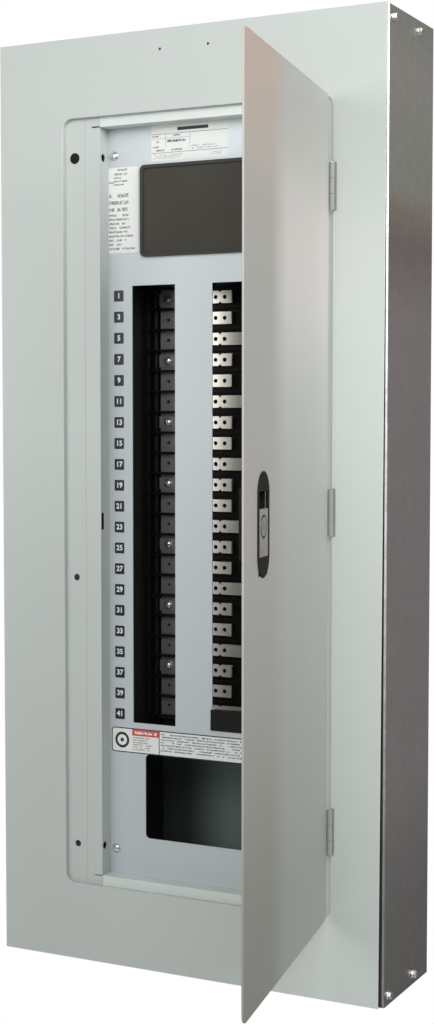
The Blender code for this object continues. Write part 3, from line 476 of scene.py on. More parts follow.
def plated(name, slot, colour, roughness, streaks=(1, 1, 1)):
    finish = Finish(name, slot, colour, roughness, 0.9)
    grain = finish.noise(0.8 * MM, 2.0, streaks)
    stains = finish.noise(STAIN, 2.0)
    finish.set("Base Color", finish.mix(stains, shade(colour, 0.88), shade(colour, 1.05)))
    finish.set("Roughness", roughness + 0.14 * (grain - 0.5))
    finish.relief(grain, 0.006 * MM)
    return finish


def strap_tin(pad_y):
    """Tin plate, bright and creamy on the middle pads, partly as painted light, greyer at the bars as painted
    shade, and painted dark down in the holes as shade.
    """
    finish = plated("tin_plate", "tin_plate", LIT_PAD_TIN, 0.34, (9, 1, 1))
    outwards = finish.along("X").size()
    stained = finish.mix(finish.noise(STAIN, 2.0), shade(LIT_PAD_TIN, 0.92), shade(LIT_PAD_TIN, 1.04))
    # The pads' bright tone is partly painted light, and the bars' greyer tone is painted shade.
    colour = finish.mix(outwards.ramp(20 * MM, 58 * MM), stained, SHADED_BAR_TIN)
    # The holes are painted nearly black: painted shade down in them.
    hole_shade = (finish.along("Y") > pad_y + 2 * MM) * (outwards < 12 * MM)
    finish.set("Base Color", finish.mix(hole_shade, colour, shade(SHADED_BAR_TIN, 0.08)))
    return finish


def slider_metal():
    """Cast zinc with a dark ring round the key cylinder and a lower end that thumbs have rubbed."""
    colour = (0.62, 0.60, 0.56)
    finish = plated("slider_metal", "latch_metal", colour, 0.34)
    across, up = along_door(finish) - LOCK_ALONG, finish.along("Z") - LOCK_Z
    ring = (finish.far(across, up) - RING_AT).size() < RING_HALF
    rubbed = up.ramp(-10 * MM, -22 * MM) * (finish.noise(4 * MM, 2.0) > 0.45)
    cast = finish.mix(finish.noise(3 * MM, 3.0), shade(colour, 0.75), shade(colour, 1.1))
    worn = finish.mix(0.55 * rubbed, cast, (0.52, 0.30, 0.25))
    finish.set("Base Color", finish.mix(ring, worn, shade(colour, 0.06)))
    finish.set("Metallic", 0.7)
    return finish


def cylinder_metal():
    """The key cylinder's face, with a dark rim and a dark keyway down its middle."""
    colour = (0.62, 0.60, 0.57)
    finish = plated("cylinder_metal", "latch_metal", colour, 0.26)
    across, up = along_door(finish) - LOCK_ALONG, finish.along("Z") - LOCK_Z
    rim = finish.far(across, up) > RIM_AT
    keyway = (across.size() < KEYWAY_HALF_WIDTH) * (up.size() < KEYWAY_HALF_HEIGHT)
    finish.set("Base Color", finish.mix(0.9 * (rim + keyway), colour, shade(colour, 0.08)))
    return finish


galvanised_sheet = galvanised(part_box("box_wrap")[0].y)
zinc_plate = plated("zinc_plate", "zinc_plate", (0.72, 0.72, 0.70), 0.24)
tin_plate = strap_tin(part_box("bus_bar_b")[0].y)
slider_finish = slider_metal()
latch_metal = cylinder_metal()
lug_aluminium = plated("lug_aluminium", "lug_aluminium", (0.66, 0.66, 0.66), 0.34, (1, 1, 12))
print("metals:", galvanised_sheet.material.name, zinc_plate.material.name, tin_plate.material.name)

# %% [markdown]
# ## Black plastic
#
# The insulators, the fillers and the latch plate are moulded. Their moulds are lightly textured, so
# the surface has a fine grain and a soft, uneven gloss. The main filler is a browner and lighter
# black than the rest.

# %% Mix the plastics
def moulded(name, colour, roughness):
    finish = Finish(name, "black_plastic", colour, roughness)
    finish.set("Specular IOR Level", 0.18)
    patches = finish.noise(50 * MM, 3.0)
    finish.set("Base Color", finish.mix(patches, shade(colour, 0.85), shade(colour, 1.15)))
    finish.set("Roughness", roughness + 0.12 * (finish.noise(20 * MM, 3.0) - 0.5))
    finish.relief(finish.noise(0.7 * MM, 2.0), 0.02 * MM)
    return finish


black_plastic = moulded("black_plastic", (0.007, 0.007, 0.006), 0.42)
filler_plastic = moulded("filler_plastic", (0.055, 0.051, 0.041), 0.50)
pole_plastic = moulded("pole_filler_plastic", (0.011, 0.011, 0.009), 0.48)
latch_plastic = moulded("latch_plastic", (0.011, 0.010, 0.008), 0.60)
print("plastics:", black_plastic.material.name, filler_plastic.material.name)

# %% [markdown]
# ## Rounded copies of the frame's pieces
#
# The frame's solids have knife-sharp edges, and no real edge is sharp. A rounded edge catches the
# light as a thin bright line, and that makes metal look like metal. Each piece is copied, its
# triangles are merged into whole faces, and a small bevel runs along every edge that turns by more
# than 30 degrees. Normals weighted by face area keep flat faces flat.

# %% Define how a piece is rounded and finished
def finish_piece(piece, body, finish, *stands_for):
    """Gives a finished mesh its material, its body and the frame's nodes it replaces."""
    piece.data.materials.clear()
    piece.data.materials.append(finish.material)
    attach(piece, body)
    if stands_for:
        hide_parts(*stands_for)
    return piece


def object_from(name, solid):
    mesh = bpy.data.meshes.new(name)
    solid.to_mesh(mesh)
    solid.free()
    made = bpy.data.objects.new(name, mesh)
    bpy.context.scene.collection.objects.link(made)
    return made


def settled(piece):
    """The piece with its modifiers worked into its mesh."""
    graph = bpy.context.evaluated_depsgraph_get()
    mesh = bpy.data.meshes.new_from_object(piece.evaluated_get(graph))
    piece.modifiers.clear()
    piece.data = mesh
    return piece


def round_edges(piece, radius):
    bevel = piece.modifiers.new("rounding", "BEVEL")
    bevel.width, bevel.segments = radius, 2
    bevel.limit_method, bevel.angle_limit = "ANGLE", radians(30)
    flat = piece.modifiers.new("flat_faces", "WEIGHTED_NORMAL")
    flat.mode, flat.weight, flat.keep_sharp = "FACE_AREA", 100, True
    piece.data.shade_smooth()
    piece.data.set_sharp_from_angle(angle=radians(40))
    return settled(piece)


def merged(node):
    """A solid of the frame with its doubles merged and its flat triangles joined into faces."""
    solid = bmesh.new()
    solid.from_mesh(NODES[node].data)
    bmesh.ops.remove_doubles(solid, verts=solid.verts, dist=0.002 * MM)
    bmesh.ops.dissolve_limit(solid, angle_limit=radians(0.4), verts=solid.verts, edges=solid.edges)
    return solid


def rounded_node(node, finish, radius, settle=None):
    """A piece of the frame, with its edges rounded; settle may first move its vertices a little."""
    solid = merged(node)
    if settle:
        for vertex in solid.verts:
            settle(vertex.co)
    piece = round_edges(object_from(f"{node}_finished", solid), radius)
    return finish_piece(piece, NODES[node]["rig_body"], finish, node)


# %% [markdown]
# ## Sheet metal
#
# Sheet of 1.5 to 2 mm is folded round about its own thickness, but its cut edges are only broken by
# tumbling, so 0.3 to 0.5 mm is right for most edges. The box's wrap has four folds along its whole
# height, and they get a wider radius.
#
# The front hangs a little askew on its box, so a sliver of the box's fold shows down its right side.

# %% Round the sheet-metal pieces
SHEETS = (
    ("front_trim", front_paint, 0.45), ("frame_left_stile", left_stile_paint, 0.40),
    ("frame_right_stile", enclosure_paint, 0.40), ("frame_top_rail", lit_rail_paint, 0.40),
    ("frame_bottom_rail", lit_rail_paint, 0.40), ("dead_front", dead_front_paint, 0.35),
    ("door_panel", door_finish, 0.45),
    ("top_end_wall", galvanised_sheet, 0.45), ("bottom_end_wall", galvanised_sheet, 0.45),
    ("chassis_rail_left", rail_shade_coat, 0.40), ("chassis_rail_right", rail_shade_coat, 0.40),
    ("interior_pan", pan_shade_coat, 0.40),
)


EDGE_X, TOP_Z, EDGE_IN, EDGE_SLOPE = 253.5 * MM, 558.8 * MM, 2.4 * MM, 0.0042


def askew(place):
    """The front's right edge runs inwards on its way down, so that the box's fold shows beside it."""
    if place.x > EDGE_X:
        place.x -= EDGE_IN + EDGE_SLOPE * (TOP_Z - place.z)


for node, sheet_finish, radius in SHEETS:
    rounded_node(node, sheet_finish, radius * MM, settle=askew if node == "front_trim" else None)
WRAP_LOW, WRAP_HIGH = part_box("box_wrap")


def folded_wrap(radius):
    """The box's sides and back from one sheet, with wide folds at its four long corners."""
    solid = merged("box_wrap")

    def is_fold(edge):
        start, end = (corner.co for corner in edge.verts)
        at_side = abs(abs(start.x) - WRAP_HIGH.x) < 0.01 * MM
        at_edge = min(start.y - WRAP_LOW.y, WRAP_HIGH.y - start.y) < 0.01 * MM
        return abs(start.z - end.z) > 200 * MM and at_side and at_edge

    folds = [edge for edge in solid.edges if is_fold(edge)]
    bmesh.ops.bevel(solid, geom=folds, offset=radius, segments=6, profile=0.5, affect="EDGES")
    print(len(folds), "folds of the wrap rounded")
    wrap = round_edges(object_from("box_wrap_finished", solid), 0.4 * MM)
    finish_piece(wrap, "enclosure", galvanised_sheet, "box_wrap")


folded_wrap(2.6 * MM)
print(len(SHEETS), "sheet-metal pieces rounded")

# %% [markdown]
# ## Mouldings, bars and the latch
#
# These pieces already have their shape in the frame, with the slots, holes and notches that the
# breakers and the latch need. They get the same rounding, a little wider on the mouldings. The latch
# stands less proud of the door than in the frame, so it is pressed towards a plane 3 mm behind the
# door's face by 65 %.

# %% Round the mouldings, bars and latch
OTHERS = [
    ("main_filler_plate", filler_plastic, 0.7), ("pole_filler_plate", pole_plastic, 0.5),
    ("bus_insulator_base", black_plastic, 0.5), ("bus_insulator_cover", black_plastic, 0.35),
    ("breaker_mounting_rail_left", black_plastic, 0.3), ("breaker_mounting_rail_right", black_plastic, 0.3),
    ("latch_escutcheon", latch_plastic, 0.8), ("latch_case", latch_plastic, 0.3),
    ("latch_slider", slider_finish, 0.5), ("lock_cylinder", latch_metal, 0.5),
    ("latch_bolt", black_plastic, 0.4), ("directory_holder", black_plastic, 0.25),
    ("neutral_bar", lug_aluminium, 0.5), ("ground_bar", lug_aluminium, 0.5),
]
OTHERS += [(f"bus_bar_{phase}", tin_plate, 0.3) for phase in "abc"]
OTHERS += [(f"main_lug_{phase}", lug_aluminium, 0.8) for phase in "abc"]
# The hinge leaves have the darker leaf paint, as painted shade.
OTHERS += [(f"hinge_{leaf}_leaf_{number}", shaded_leaf_paint, 0.25)
           for leaf in ("frame", "door") for number in (1, 2, 3)]
OTHERS += [(f"hinge_pin_{number}", zinc_plate, 0.3) for number in (1, 2, 3)]
PRESS_FROM, PRESS = -3.0 * MM, 0.65
LATCH = ("latch_escutcheon", "latch_slider", "lock_cylinder")


def flattened(place):
    """The latch's face lies lower on the door than its frame shape does."""
    outwards = Vector((sin(DOOR_TURN), -cos(DOOR_TURN), 0))
    out = (place - Vector((HINGE_X, HINGE_Y, 0))).dot(outwards) - PRESS_FROM
    if out > 0:
        place -= outwards * (PRESS * out)


for node, piece_finish, radius in OTHERS:
    rounded_node(node, piece_finish, radius * MM, settle=flattened if node in LATCH else None)
print(len(OTHERS), "mouldings, bars and latch pieces rounded")

# %% [markdown]
# ## A Geometry Nodes tree for what repeats
#
# The panel repeats a few small things many times: screws and circuit tags. Geometry Nodes put one
# shape on many points, and each point carries the way it faces. The tree has named inputs, and ends
# in Realize Instances and Set Material. The result is turned into one plain mesh.

# %% Build the tree that sets copies on points
class Growth:
    """A Geometry Nodes tree with named inputs."""

    def __init__(self, name, inputs):
        self.tree = bpy.data.node_groups.new(name, "GeometryNodeTree")
        self.tree.interface.new_socket(name="Result", in_out="OUTPUT", socket_type="NodeSocketGeometry")
        for label, kind in inputs.items():
            self.tree.interface.new_socket(name=label, in_out="INPUT", socket_type=f"NodeSocket{kind}")
        self.given = self.tree.nodes.new("NodeGroupInput").outputs

    def node(self, kind, settings, sockets, output=0):
        made = self.tree.nodes.new(kind)
        for name, value in settings.items():
            setattr(made, name, value)
        for key, value in sockets.items():
            if isinstance(value, bpy.types.NodeSocket):
                self.tree.links.new(value, made.inputs[key])
            else:
                made.inputs[key].default_value = value
        return made.outputs[output]

    def finish(self, geometry):
        """Realizes the instances, sets the material and closes the tree."""
        solid = self.node("GeometryNodeRealizeInstances", {}, {0: geometry})
        coated = self.node("GeometryNodeSetMaterial", {}, {0: solid, "Material": self.given["Material"]})
        self.tree.links.new(coated, self.tree.nodes.new("NodeGroupOutput").inputs[0])

    def grow(self, name, points, values):
        """A plain mesh grown on points, each a place and the direction it faces."""
        seeds = bpy.data.meshes.new(name)
        seeds.from_pydata([place for place, _ in points], [], [])
        facing = seeds.attributes.new("facing", "FLOAT_VECTOR", "POINT")
        for item, (_, direction) in zip(facing.data, points):
            item.vector = direction
        grown = bpy.data.objects.new(name, seeds)
        bpy.context.scene.collection.objects.link(grown)
        step = grown.modifiers.new("growth", "NODES")
        step.node_group = self.tree
        for item in self.tree.interface.items_tree:
            if item.in_out == "INPUT" and item.name in values:
                step[item.identifier] = values[item.name]
        return settled(grown)


def copies_tree():
    growth = Growth("copies_on_points", {"Points": "Geometry", "Shape": "Object", "Size": "Float",
                                         "Turn": "Float", "Material": "Material"})
    shape = growth.node("GeometryNodeObjectInfo", {}, {"Object": growth.given["Shape"]}, "Geometry")
    facing = growth.node("GeometryNodeInputNamedAttribute", {"data_type": "FLOAT_VECTOR"}, {"Name": "facing"})
    upright = growth.node("FunctionNodeAlignEulerToVector", {"axis": "Z"}, {"Vector": facing})
    index = growth.node("GeometryNodeInputIndex", {}, {})
    angle = growth.node("ShaderNodeMath", {"operation": "MULTIPLY"}, {0: index, 1: growth.given["Turn"]})
    turn = growth.node("ShaderNodeCombineXYZ", {}, {"Z": angle})
    turned_on = growth.node("FunctionNodeRotateEuler", {"space": "LOCAL"},
                            {"Rotation": upright, "Rotate By": turn})
    growth.finish(growth.node("GeometryNodeInstanceOnPoints", {}, {
        "Points": growth.given["Points"], "Instance": shape, "Rotation": turned_on,
        "Scale": growth.given["Size"]}))
    return growth


COPIES = copies_tree()


def copies(name, shape, points, body, finish, stands_for=(), turn=0.0):
    """One piece made of copies of a shape; the caller removes the shape."""
    values = {"Shape": shape, "Size": 1.0, "Turn": turn, "Material": finish.material}
    piece = COPIES.grow(name, points, values)
    print(f"{name}: {len(points)} copies, {len(piece.data.polygons)} faces")
    return finish_piece(piece, body, finish, *stands_for)


# %% [markdown]
# ## Screws
#
# Four kinds of screw show. The box's end walls are held by hex-washer-head screws, the dead front by
# pan-head screws with a cross recess, and the bus straps by round-headed screws with a slot. The
# front is clamped by slotted screws that are sunk in the frame. A plastic plug closes an unused hole.
#
# Each head is a turned profile. The hexagon is turned in six steps, and the recesses are cut with a
# Boolean. Real screws stop at any angle, so each copy is turned on by a fixed, uneven amount.

# %% Turn and cut the screw heads
def turned(name, profile, sides=28):
    """A closed solid turned about Z; the profile's (radius, height) points, in mm, run downwards."""
    solid = bmesh.new()
    rings = []
    for radius, height in ((radius * MM, height * MM) for radius, height in profile):
        angles = [2 * pi * i / sides for i in range(sides)] if radius else [0]
        rings.append([solid.verts.new((radius * cos(angle), radius * sin(angle), height))
                      for angle in angles])
    for upper, lower in zip(rings, rings[1:]):
        for i in range(sides):
            j = (i + 1) % sides
            corners = [upper[i % len(upper)], lower[i % len(lower)],
                       lower[j % len(lower)], upper[j % len(upper)]]
            solid.faces.new(list(dict.fromkeys(corners)))
    bmesh.ops.recalc_face_normals(solid, faces=solid.faces)
    return object_from(name, solid)


def blocks(name, parts, turn=0.0):
    """One mesh of separate blocks, each given by its place and its size."""
    solid = bmesh.new()
    for place, size in parts:
        matrix = Matrix.Translation(place) @ Matrix.Rotation(turn, 4, "Z") @ Matrix.Diagonal((*size, 1))
        bmesh.ops.create_cube(solid, size=1, matrix=matrix)
    return object_from(name, solid)


def slot(length, width, depth, height, turn=0.0):
    """A bar in millimetres, which cuts a slot across a head."""
    return blocks("slot", [((0, 0, height * MM), (length * MM, width * MM, depth * MM))], turn)


def combined(target, others, operation):
    for other in others:
        step = target.modifiers.new("combine", "BOOLEAN")
        step.object, step.operation, step.solver = other, operation, "EXACT"
    settled(target)
    for other in others:
        bpy.data.objects.remove(other)
    return target


def smoothed(piece, angle=35):
    piece.data.shade_smooth()
    piece.data.set_sharp_from_angle(angle=radians(angle))
    return piece


def hex_washer_screw():
    washer = turned("hex_washer_screw", [(0, 1.0), (4.6, 1.0), (5.6, 0.85), (5.8, 0.6), (5.8, 0.3),
                                         (2.4, 0.3), (2.4, -8), (0, -8)])
    head = turned("head", [(0, 5.0), (4.0, 5.0), (4.6, 4.5), (4.6, 0.9), (0, 0.9)], 6)
    combined(washer, [head], "UNION")
    return smoothed(combined(washer, [slot(12, 1.1, 2, 5.1)], "DIFFERENCE"), 30)


def pan_screw():
    head = turned("pan_screw", [(0, 3.0), (2.2, 2.9), (3.8, 2.4), (5.0, 1.5), (5.6, 0.5), (5.6, 0.3),
                                (2, 0.3), (2, -12), (0, -12)])
    cross = [slot(5.2, 1.1, 3, 2.9, turn) for turn in (0, pi / 2)]
    return smoothed(combined(head, cross, "DIFFERENCE"))


def strap_screw():
    head = turned("strap_screw", [(0, 3.2), (2.4, 3.0), (4.0, 2.2), (4.6, 1.0), (4.8, 0.2), (6.2, 0.2),
                                  (6.2, 0), (0, 0)])
    return smoothed(combined(head, [slot(10, 1.2, 1.6, 3.0)], "DIFFERENCE"))


def clamp_screw():
    """A screw sunk in its hole, so that only its slotted end and washer show."""
    head = turned("clamp_screw", [(0, -0.6), (2.9, -0.7), (3.5, -1.2), (3.5, -1.8), (6.4, -1.8), (6.4, -3.4),
                                  (2, -3.4), (2, -18), (0, -18)])
    return smoothed(combined(head, [slot(9, 1.1, 1.6, -0.8)], "DIFFERENCE"))


def plug():
    return smoothed(turned("plug", [(0, 2.4), (1.4, 2.3), (3.0, 2.1), (4.6, 1.7), (5.8, 1.1), (6.5, 0.3),
                                    (3.7, 0.3), (3.7, -5), (0, -5)]))


# %% [markdown]
# ## Where the screws go
#
# The frame has a plain peg for each screw. A copy of the right head goes to the middle of each peg,
# on the face of the sheet that it holds, and stands for that peg.

# %% Set the screws where the frame has them
ROWS, PITCH, MIDDLE_Z = 21, 25.4 * MM, -1.0 * MM


def row_z(row):
    return MIDDLE_Z + ((ROWS - 1) / 2 - row) * PITCH


def middle(node):
    low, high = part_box(node)
    return (low + high) / 2


TRIM_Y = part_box("front_trim")[0].y
DEAD_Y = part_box("dead_front")[0].y
LEDGE_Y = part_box("frame_left_stile")[0].y
FORWARD, SCREW_TURN = (0, -1, 0), 0.83


def set_screws(stem, count, shape, finish, place_of, name):
    nodes = [f"{stem}_{number}" for number in range(1, count + 1)]
    points = [place_of(middle(node)) for node in nodes]
    copies(name, shape, points, "enclosure", finish, nodes, turn=SCREW_TURN)
    bpy.data.objects.remove(shape)


def on_side(centre):
    side = WRAP_HIGH.x if centre.x > 0 else WRAP_LOW.x
    return (side, centre.y, centre.z), (1 if centre.x > 0 else -1, 0, 0)


set_screws("end_wall_screw", 8, hex_washer_screw(), zinc_plate, on_side, "end_wall_screws")
set_screws("dead_front_screw", 4, pan_screw(), zinc_plate,
           lambda centre: ((centre.x, DEAD_Y, centre.z), FORWARD), "dead_front_screws")
# The sunk clamp screws get a nearly black zinc: painted shade down in their holes.
shaded_sunk_zinc = Finish("shaded_sunk_zinc", "zinc_plate", (0.05, 0.05, 0.05), 0.35, 0.6)
set_screws("trim_clamp_screw", 4, clamp_screw(), shaded_sunk_zinc,
           lambda centre: ((centre.x, LEDGE_Y, centre.z), FORWARD), "trim_clamp_screws")
plug_shape = plug()
plug_centre = middle("frame_plug")
plug_place = ((plug_centre.x, LEDGE_Y, plug_centre.z), FORWARD)
copies("frame_hole_plug", plug_shape, [plug_place], "enclosure", latch_plastic, ["frame_plug"])
bpy.data.objects.remove(plug_shape)

# %% [markdown]
# ## The strap ends of phase A
#
# The straps are cut and bent from tinned bar. Those of phase A end in a short lip that is turned up
# beside the pad, in every third row.

# %% Turn up the ends of phase A's straps
LIP_SIZE = (1.0 * MM, 1.6 * MM, 13.4 * MM)
PAD_LOW, PAD_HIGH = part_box("bus_bar_a")
lip_x, lip_y = PAD_HIGH.x - 0.5 * MM, PAD_LOW.y - 0.7 * MM
strap_lips = blocks("strap_lips", [((lip_x, lip_y, row_z(row)), LIP_SIZE) for row in range(0, ROWS, 3)])
finish_piece(round_edges(strap_lips, 0.25 * MM), "enclosure", tin_plate)
print("strap lips:", len(range(0, ROWS, 3)))

# %% [markdown]
# ## The slits beside the hinges
#
# Each hinge knuckle swings in a slit of the front. The slit shows a grey leaf close behind it, not
# an open hole, so a flush strip is set beside each knuckle. The strip has the darker leaf paint,
# which is painted shade in the slit.

# %% Close the slits beside the hinges
STRIP_WIDTH, STRIP_THICK = 6.6 * MM, 0.6 * MM


def strip_beside(number):
    low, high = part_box(f"hinge_pin_{number}")
    place = (HINGE_X + 4.3 * MM, TRIM_Y + STRIP_THICK, (low.z + high.z) / 2)
    return place, (STRIP_WIDTH, STRIP_THICK, high.z - low.z + 2 * MM)


hinge_backs = blocks("hinge_backs", [strip_beside(number) for number in (1, 2, 3)])
finish_piece(hinge_backs, "enclosure", shaded_leaf_paint)
print("strips beside the hinges:", len(hinge_backs.data.polygons) // 6)

# %% [markdown]
# ## The corner reliefs
#
# Where two flanges meet at a corner, the sheet has a relief cut, or it would tear when folded. The
# cuts show as dark slits across the frame's ledge, wider at the top than at the foot. Thin black
# blocks on the ledge stand for them: painted shade in the cuts.

# %% Lay shade blocks in the corner reliefs
SLIT_WIDTH, SLIT_THICK = 10.4 * MM, 0.3 * MM
SLITS = ((453.0 * MM, 1.5 * MM), (-452.9 * MM, 0.9 * MM))
slit_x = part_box("dead_front")[1].x - 2.0 * MM
corner_slit_shades = [((side * slit_x, LEDGE_Y, height), (SLIT_WIDTH, SLIT_THICK, tall))
                for side in (-1, 1) for height, tall in SLITS]
# The black blocks are painted shade in the relief cuts.
finish_piece(blocks("corner_reliefs", corner_slit_shades), "enclosure", latch_plastic)
print("corner slits:", len(corner_slit_shades))

# %% [markdown]
# ## Strap screws and circuit tags
#
# A strap of each phase is screwed to its bar on every third row, on the left from the first row and
# on the right from the third. The tags beside the slots are black stickers with round corners, one to
# a circuit, and their numbers run odd down the left side and even down the right.

# %% Set the strap screws and the tags
TAG_X, TAG_SIZE, STICKER, GLUE = 102.5 * MM, 13.2 * MM, 0.2 * MM, 0.05 * MM
STRAP_X, STRAP_Y = 78 * MM, -42.1 * MM


def rounded_plate(name, width, height, radius, thickness):
    """A flat plate about the origin that faces +Z, with round corners."""
    solid = bmesh.new()
    outline = []
    for turn, (x, y) in enumerate(((1, 1), (-1, 1), (-1, -1), (1, -1))):
        for step in range(6):
            angle = (turn + step / 5) * pi / 2
            outline.append(solid.verts.new((x * (width / 2 - radius) + radius * cos(angle),
                                            y * (height / 2 - radius) + radius * sin(angle), 0)))
    face = solid.faces.new(outline)
    raised = bmesh.ops.extrude_face_region(solid, geom=[face])["geom"]
    top = [item for item in raised if isinstance(item, bmesh.types.BMVert)]
    bmesh.ops.translate(solid, vec=(0, 0, thickness), verts=top)
    bmesh.ops.recalc_face_normals(solid, faces=solid.faces)
    return object_from(name, solid)


tag_finish = Finish("tag", "black_plastic", (0.012, 0.014, 0.017), 0.35)
screw_shape = strap_screw()
screw_places = [((-STRAP_X, STRAP_Y, row_z(row)), FORWARD) for row in range(0, ROWS, 3)]
screw_places += [((STRAP_X, STRAP_Y, row_z(row)), FORWARD) for row in range(2, ROWS, 3)]
copies("strap_screws", screw_shape, screw_places, "enclosure", zinc_plate, turn=SCREW_TURN)
tag_shape = rounded_plate("tag_shape", TAG_SIZE, TAG_SIZE, 1.3 * MM, STICKER)
tag_places = [((side * TAG_X, DEAD_Y - GLUE, row_z(row)), FORWARD)
              for row in range(ROWS) for side in (-1, 1)]
copies("circuit_tags", tag_shape, tag_places, "enclosure", tag_finish)
for shape in (screw_shape, tag_shape):
    bpy.data.objects.remove(shape)

# %% [markdown]
# ## Circuit numbers
#
# The digits are text turned into a mesh. The curve is fattened first, because tag printing is bold.
# All numbers become one piece, which lies on the faces of the tags.

# %% Write the circuit numbers
DIGIT_SIZE, DIGIT_WEIGHT = 8.8 * MM, 0.28 * MM


def written(text, size, weight):
    """A text as a flat mesh that faces +Z, centred on the origin."""
    curve = bpy.data.curves.new("text", "FONT")
    curve.body, curve.size, curve.offset = text, size, weight
    curve.align_x, curve.align_y = "CENTER", "CENTER"
    curve.extrude, curve.resolution_u = 0.04 * MM, 4
    holder = bpy.data.objects.new("text", curve)
    bpy.context.scene.collection.objects.link(holder)
    mesh = bpy.data.meshes.new_from_object(holder.evaluated_get(bpy.context.evaluated_depsgraph_get()))
    bpy.data.objects.remove(holder)
    return mesh


def circuit_numbers():
    solid = bmesh.new()
    for row in range(ROWS):
        for side in (-1, 1):
            mesh = written(str(2 * row + (1 if side < 0 else 2)), DIGIT_SIZE, DIGIT_WEIGHT)
            place = Matrix.Translation((side * TAG_X, DEAD_Y - GLUE - STICKER, row_z(row)))
            mesh.transform(place @ Matrix.Rotation(pi / 2, 4, "X"))
            solid.from_mesh(mesh)
    return object_from("circuit_numbers", solid)


number_ink = Finish("number_ink", "card_stock", (0.80, 0.82, 0.82), 0.5)
finish_piece(circuit_numbers(), "enclosure", number_ink)
print("circuit numbers 1 to", 2 * ROWS)

# %% [markdown]
# ## Printed labels
#
# Three stickers carry small print. No words are drawn: the shader prints rows of marks, broken into
# words and letters by white noise, and from afar they read as small print. Rules and colour bands are
# rectangles. Every method of `Print` adds to one colour for the whole sticker.

# %% Define how a label is printed
BLACK, GREY, RED = (0.02, 0.02, 0.02), (0.12, 0.12, 0.12), (0.62, 0.07, 0.05)
PAPER, PALE_INK = (0.80, 0.82, 0.80), (0.35, 0.35, 0.35)
RULE_INK, TEXT_INK = (0.06, 0.06, 0.06), (0.10, 0.10, 0.11)


class Print:
    """A sticker's print, laid out in millimetres along the panel's X and Z."""

    def __init__(self, name):
        self.finish = Finish(name, "card_stock", PAPER, 0.5)
        self.x, self.z = self.finish.along("X"), self.finish.along("Z")
        self.colour = PAPER

    def put(self, mask, ink):
        self.colour = self.finish.mix(mask, self.colour, ink)
        self.finish.set("Base Color", self.colour)

    def area(self, left, right, bottom, top):
        return self.x.between(left * MM, right * MM) * self.z.between(bottom * MM, top * MM)

    def block(self, left, right, bottom, top, ink):
        self.put(self.area(left, right, bottom, top), ink)

    def rule(self, left, right, height, ink=RULE_INK, weight=0.5):
        self.block(left, right, height - weight / 2, height + weight / 2, ink)

    def divider(self, x, bottom, top, ink, weight):
        self.block(x - weight / 2, x + weight / 2, bottom, top, ink)

    def chance(self, across, down):
        """One random number for each cell of the two whole numbers."""
        cell = self.finish.node("ShaderNodeCombineXYZ", {}, {0: across, 1: down})
        return self.finish.node("ShaderNodeTexWhiteNoise", {"noise_dimensions": "2D"}, {"Vector": cell})

    def small_print(self, left, right, bottom, top, pitch, ink=TEXT_INK, letter=1.5, ragged=0.3):
        """Rows of marks, a pitch apart, broken into words and ragged at the right."""
        down = (top * MM - self.z) * (1 / (pitch * MM))
        row = down.whole()
        in_row = down.part().between(0.25, 0.75)
        words = self.chance((self.x * (1 / (letter * 2.6 * MM))).whole(), row) > 0.18
        marks = self.chance((self.x * (1 / (letter * 0.36 * MM))).whole(), (down * 6).whole()) > 0.42
        end = (self.x - left * MM) * (1 / ((right - left) * MM)) < 1 - ragged * self.chance(3, row)
        self.put(self.area(left, right, bottom, top) * in_row * words * marks * end, ink)

    def ring(self, x, z, radius, weight, ink):
        across, up = self.x - x * MM, self.z - z * MM
        self.put((self.finish.far(across, up) - radius * MM).size() < weight / 2 * MM, ink)


def label(name, left, right, bottom, top, radius, finish, proud=0.0):
    plate = rounded_plate(name, (right - left) * MM, (top - bottom) * MM, radius * MM, STICKER)
    centre = ((left + right) / 2 * MM, DEAD_Y - GLUE - proud * MM, (bottom + top) / 2 * MM)
    place = Matrix.Translation(centre)
    plate.data.transform(place @ Matrix.Rotation(pi / 2, 4, "X"))
    print(name, f"{right - left:.0f} x {top - bottom:.0f} mm")
    return finish_piece(plate, "enclosure", finish)


# %% [markdown]
# ## The four stickers
#
# The nameplate is at the top, the ratings label is beside the main filler, and the wide instruction
# label with its black border is under the slots. Each is a thin plate with its print.

# %% Print and stick the labels
def nameplate_print():
    plate = Print("nameplate_print")
    plate.block(-22, 19, 444.6, 448.4, BLACK)
    plate.rule(-57, 44.5, 441.7)
    plate.rule(-57, -5, 436.5, GREY, 0.3)
    plate.rule(-57, 44.5, 419.7)
    plate.divider(-37.6, 427.0, 441.7, GREY, 0.4)
    plate.divider(-5.1, 423.0, 441.7, GREY, 0.4)
    for facts in ((-56, -40, 437.0, 441.2, 4.2), (-28, -16, 437.4, 441.4, 4.0),
                  (-36, -11, 430.0, 436.0, 6.0, BLACK, 2.2, 0), (-50, -46, 430.5, 434.5, 4.0),
                  (-55, -36, 420.6, 428.6, 4.0), (-30, -12, 420.6, 424.6, 4.0),
                  (-3, 40, 421.0, 427.0, 3.0, PALE_INK), (22, 40, 413.5, 417.5, 2.0, PALE_INK, 1.2),
                  (-55, -6, 412.5, 418.5, 2.0, (0.30, 0.30, 0.30), 1.2)):
        plate.small_print(*facts)
    return plate.finish


def ratings_print():
    plate = Print("ratings_print")
    for facts in ((-108, -84, 396.0, 406.0, 5.0, GREY, 1.6, 0.4), (-116, -106, 386.5, 390.5, 4.0, GREY),
                  (-109, -84, 384.0, 396.0, 4.0, GREY, 1.4, 0.4),
                  (-116, -84, 352.0, 377.0, 8.3, GREY, 1.6, 0.2),
                  (-116, -80, 305.5, 352.0, 5.0, GREY, 1.5, 0.35)):
        plate.small_print(*facts)
    return plate.finish


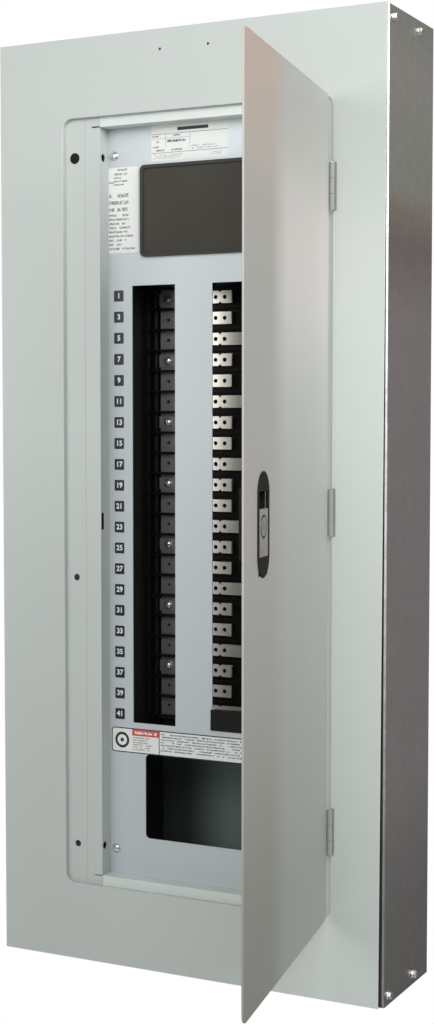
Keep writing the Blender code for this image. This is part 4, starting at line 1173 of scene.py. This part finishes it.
def instruction_print():
    plate = Print("instruction_print")
    plate.divider(-47.9, -301.8, -271.8, BLACK, 1.1)
    plate.block(-85.5, -48.4, -280.5, -272.9, RED)
    plate.small_print(-83, -51, -280.0, -273.4, 6.6, (0.85, 0.85, 0.85), 3.2, 0)
    plate.small_print(-84.5, -51, -298.0, -281.5, 2.9, GREY, 1.3, 0.4)
    plate.small_print(-46, 108, -297.5, -274.2, 3.3, BLACK, 1.3, 0.25)
    plate.ring(-99.5, -286.8, 8.2, 3.2, BLACK)
    plate.ring(-99.5, -286.8, 1.2, 2.4, BLACK)
    return plate.finish


label("nameplate", -57, 45, 410.2, 453.0, 0.5, nameplate_print())
label("ratings_label", -116.4, -75, 304.2, 406.2, 2.5, ratings_print())
label("instruction_border", -114.3, 114.3, -302.0, -271.6, 4.0, tag_finish)
label("instruction_label", -113.1, 113.1, -300.8, -272.8, 3.0, instruction_print(), 0.06)

# %% [markdown]
# ## The directory card
#
# A holder behind the door takes the card on which the circuits are listed. It is ruled in columns,
# which follow the door wherever it is opened to.

# %% Rule the directory card
CARD, LINE_INK = (0.78, 0.77, 0.72), (0.15, 0.17, 0.20)
LINE_PITCH, COLUMN_WIDTH = 8.5 * MM, 45 * MM


def card_print():
    finish = Finish("directory_card_print", "card_stock", CARD, 0.6)
    lines = (finish.along("Z") * (1 / LINE_PITCH)).part() < 0.06
    columns = (along_door(finish) * (1 / COLUMN_WIDTH)).part() < 0.012
    finish.set("Base Color", finish.mix(0.8 * (lines + columns), CARD, LINE_INK))
    return finish


card = rounded_node("directory_card", card_print(), 0.05 * MM)
print(card.name, "is ruled every", LINE_PITCH / MM, "mm")

# %% [markdown]
# ## The floor
#
# The panel hangs with its middle at 1.35 m, and the floor of the room below it is plain and pale.

# %% Lay the floor
FLOOR_Z, FLOOR_CORNERS = -1.35, [(-1.6, -2.6), (1.6, -2.6), (1.6, 1.3), (-1.6, 1.3)]


def lay_floor():
    solid = bmesh.new()
    solid.faces.new([solid.verts.new((x, y, FLOOR_Z)) for x, y in FLOOR_CORNERS])
    floor = object_from("floor", solid)
    finish = Finish("floor_finish", "enclosure_paint", (0.80, 0.80, 0.78), 0.6)
    clouds = finish.noise(0.4, 3.0)
    finish.set("Base Color", finish.mix(clouds, (0.76, 0.76, 0.74), (0.84, 0.84, 0.82)))
    floor.data.materials.append(finish.material)


lay_floor()

# %% [markdown]
# ## Nodes without a finish
#
# Every node of the frame is now replaced. The nodes that still have no finish are printed.

# %% List the nodes without a finish
left_over = [name for name, node in NODES.items() if not node.data.materials]
print("nodes without a finish:", left_over)
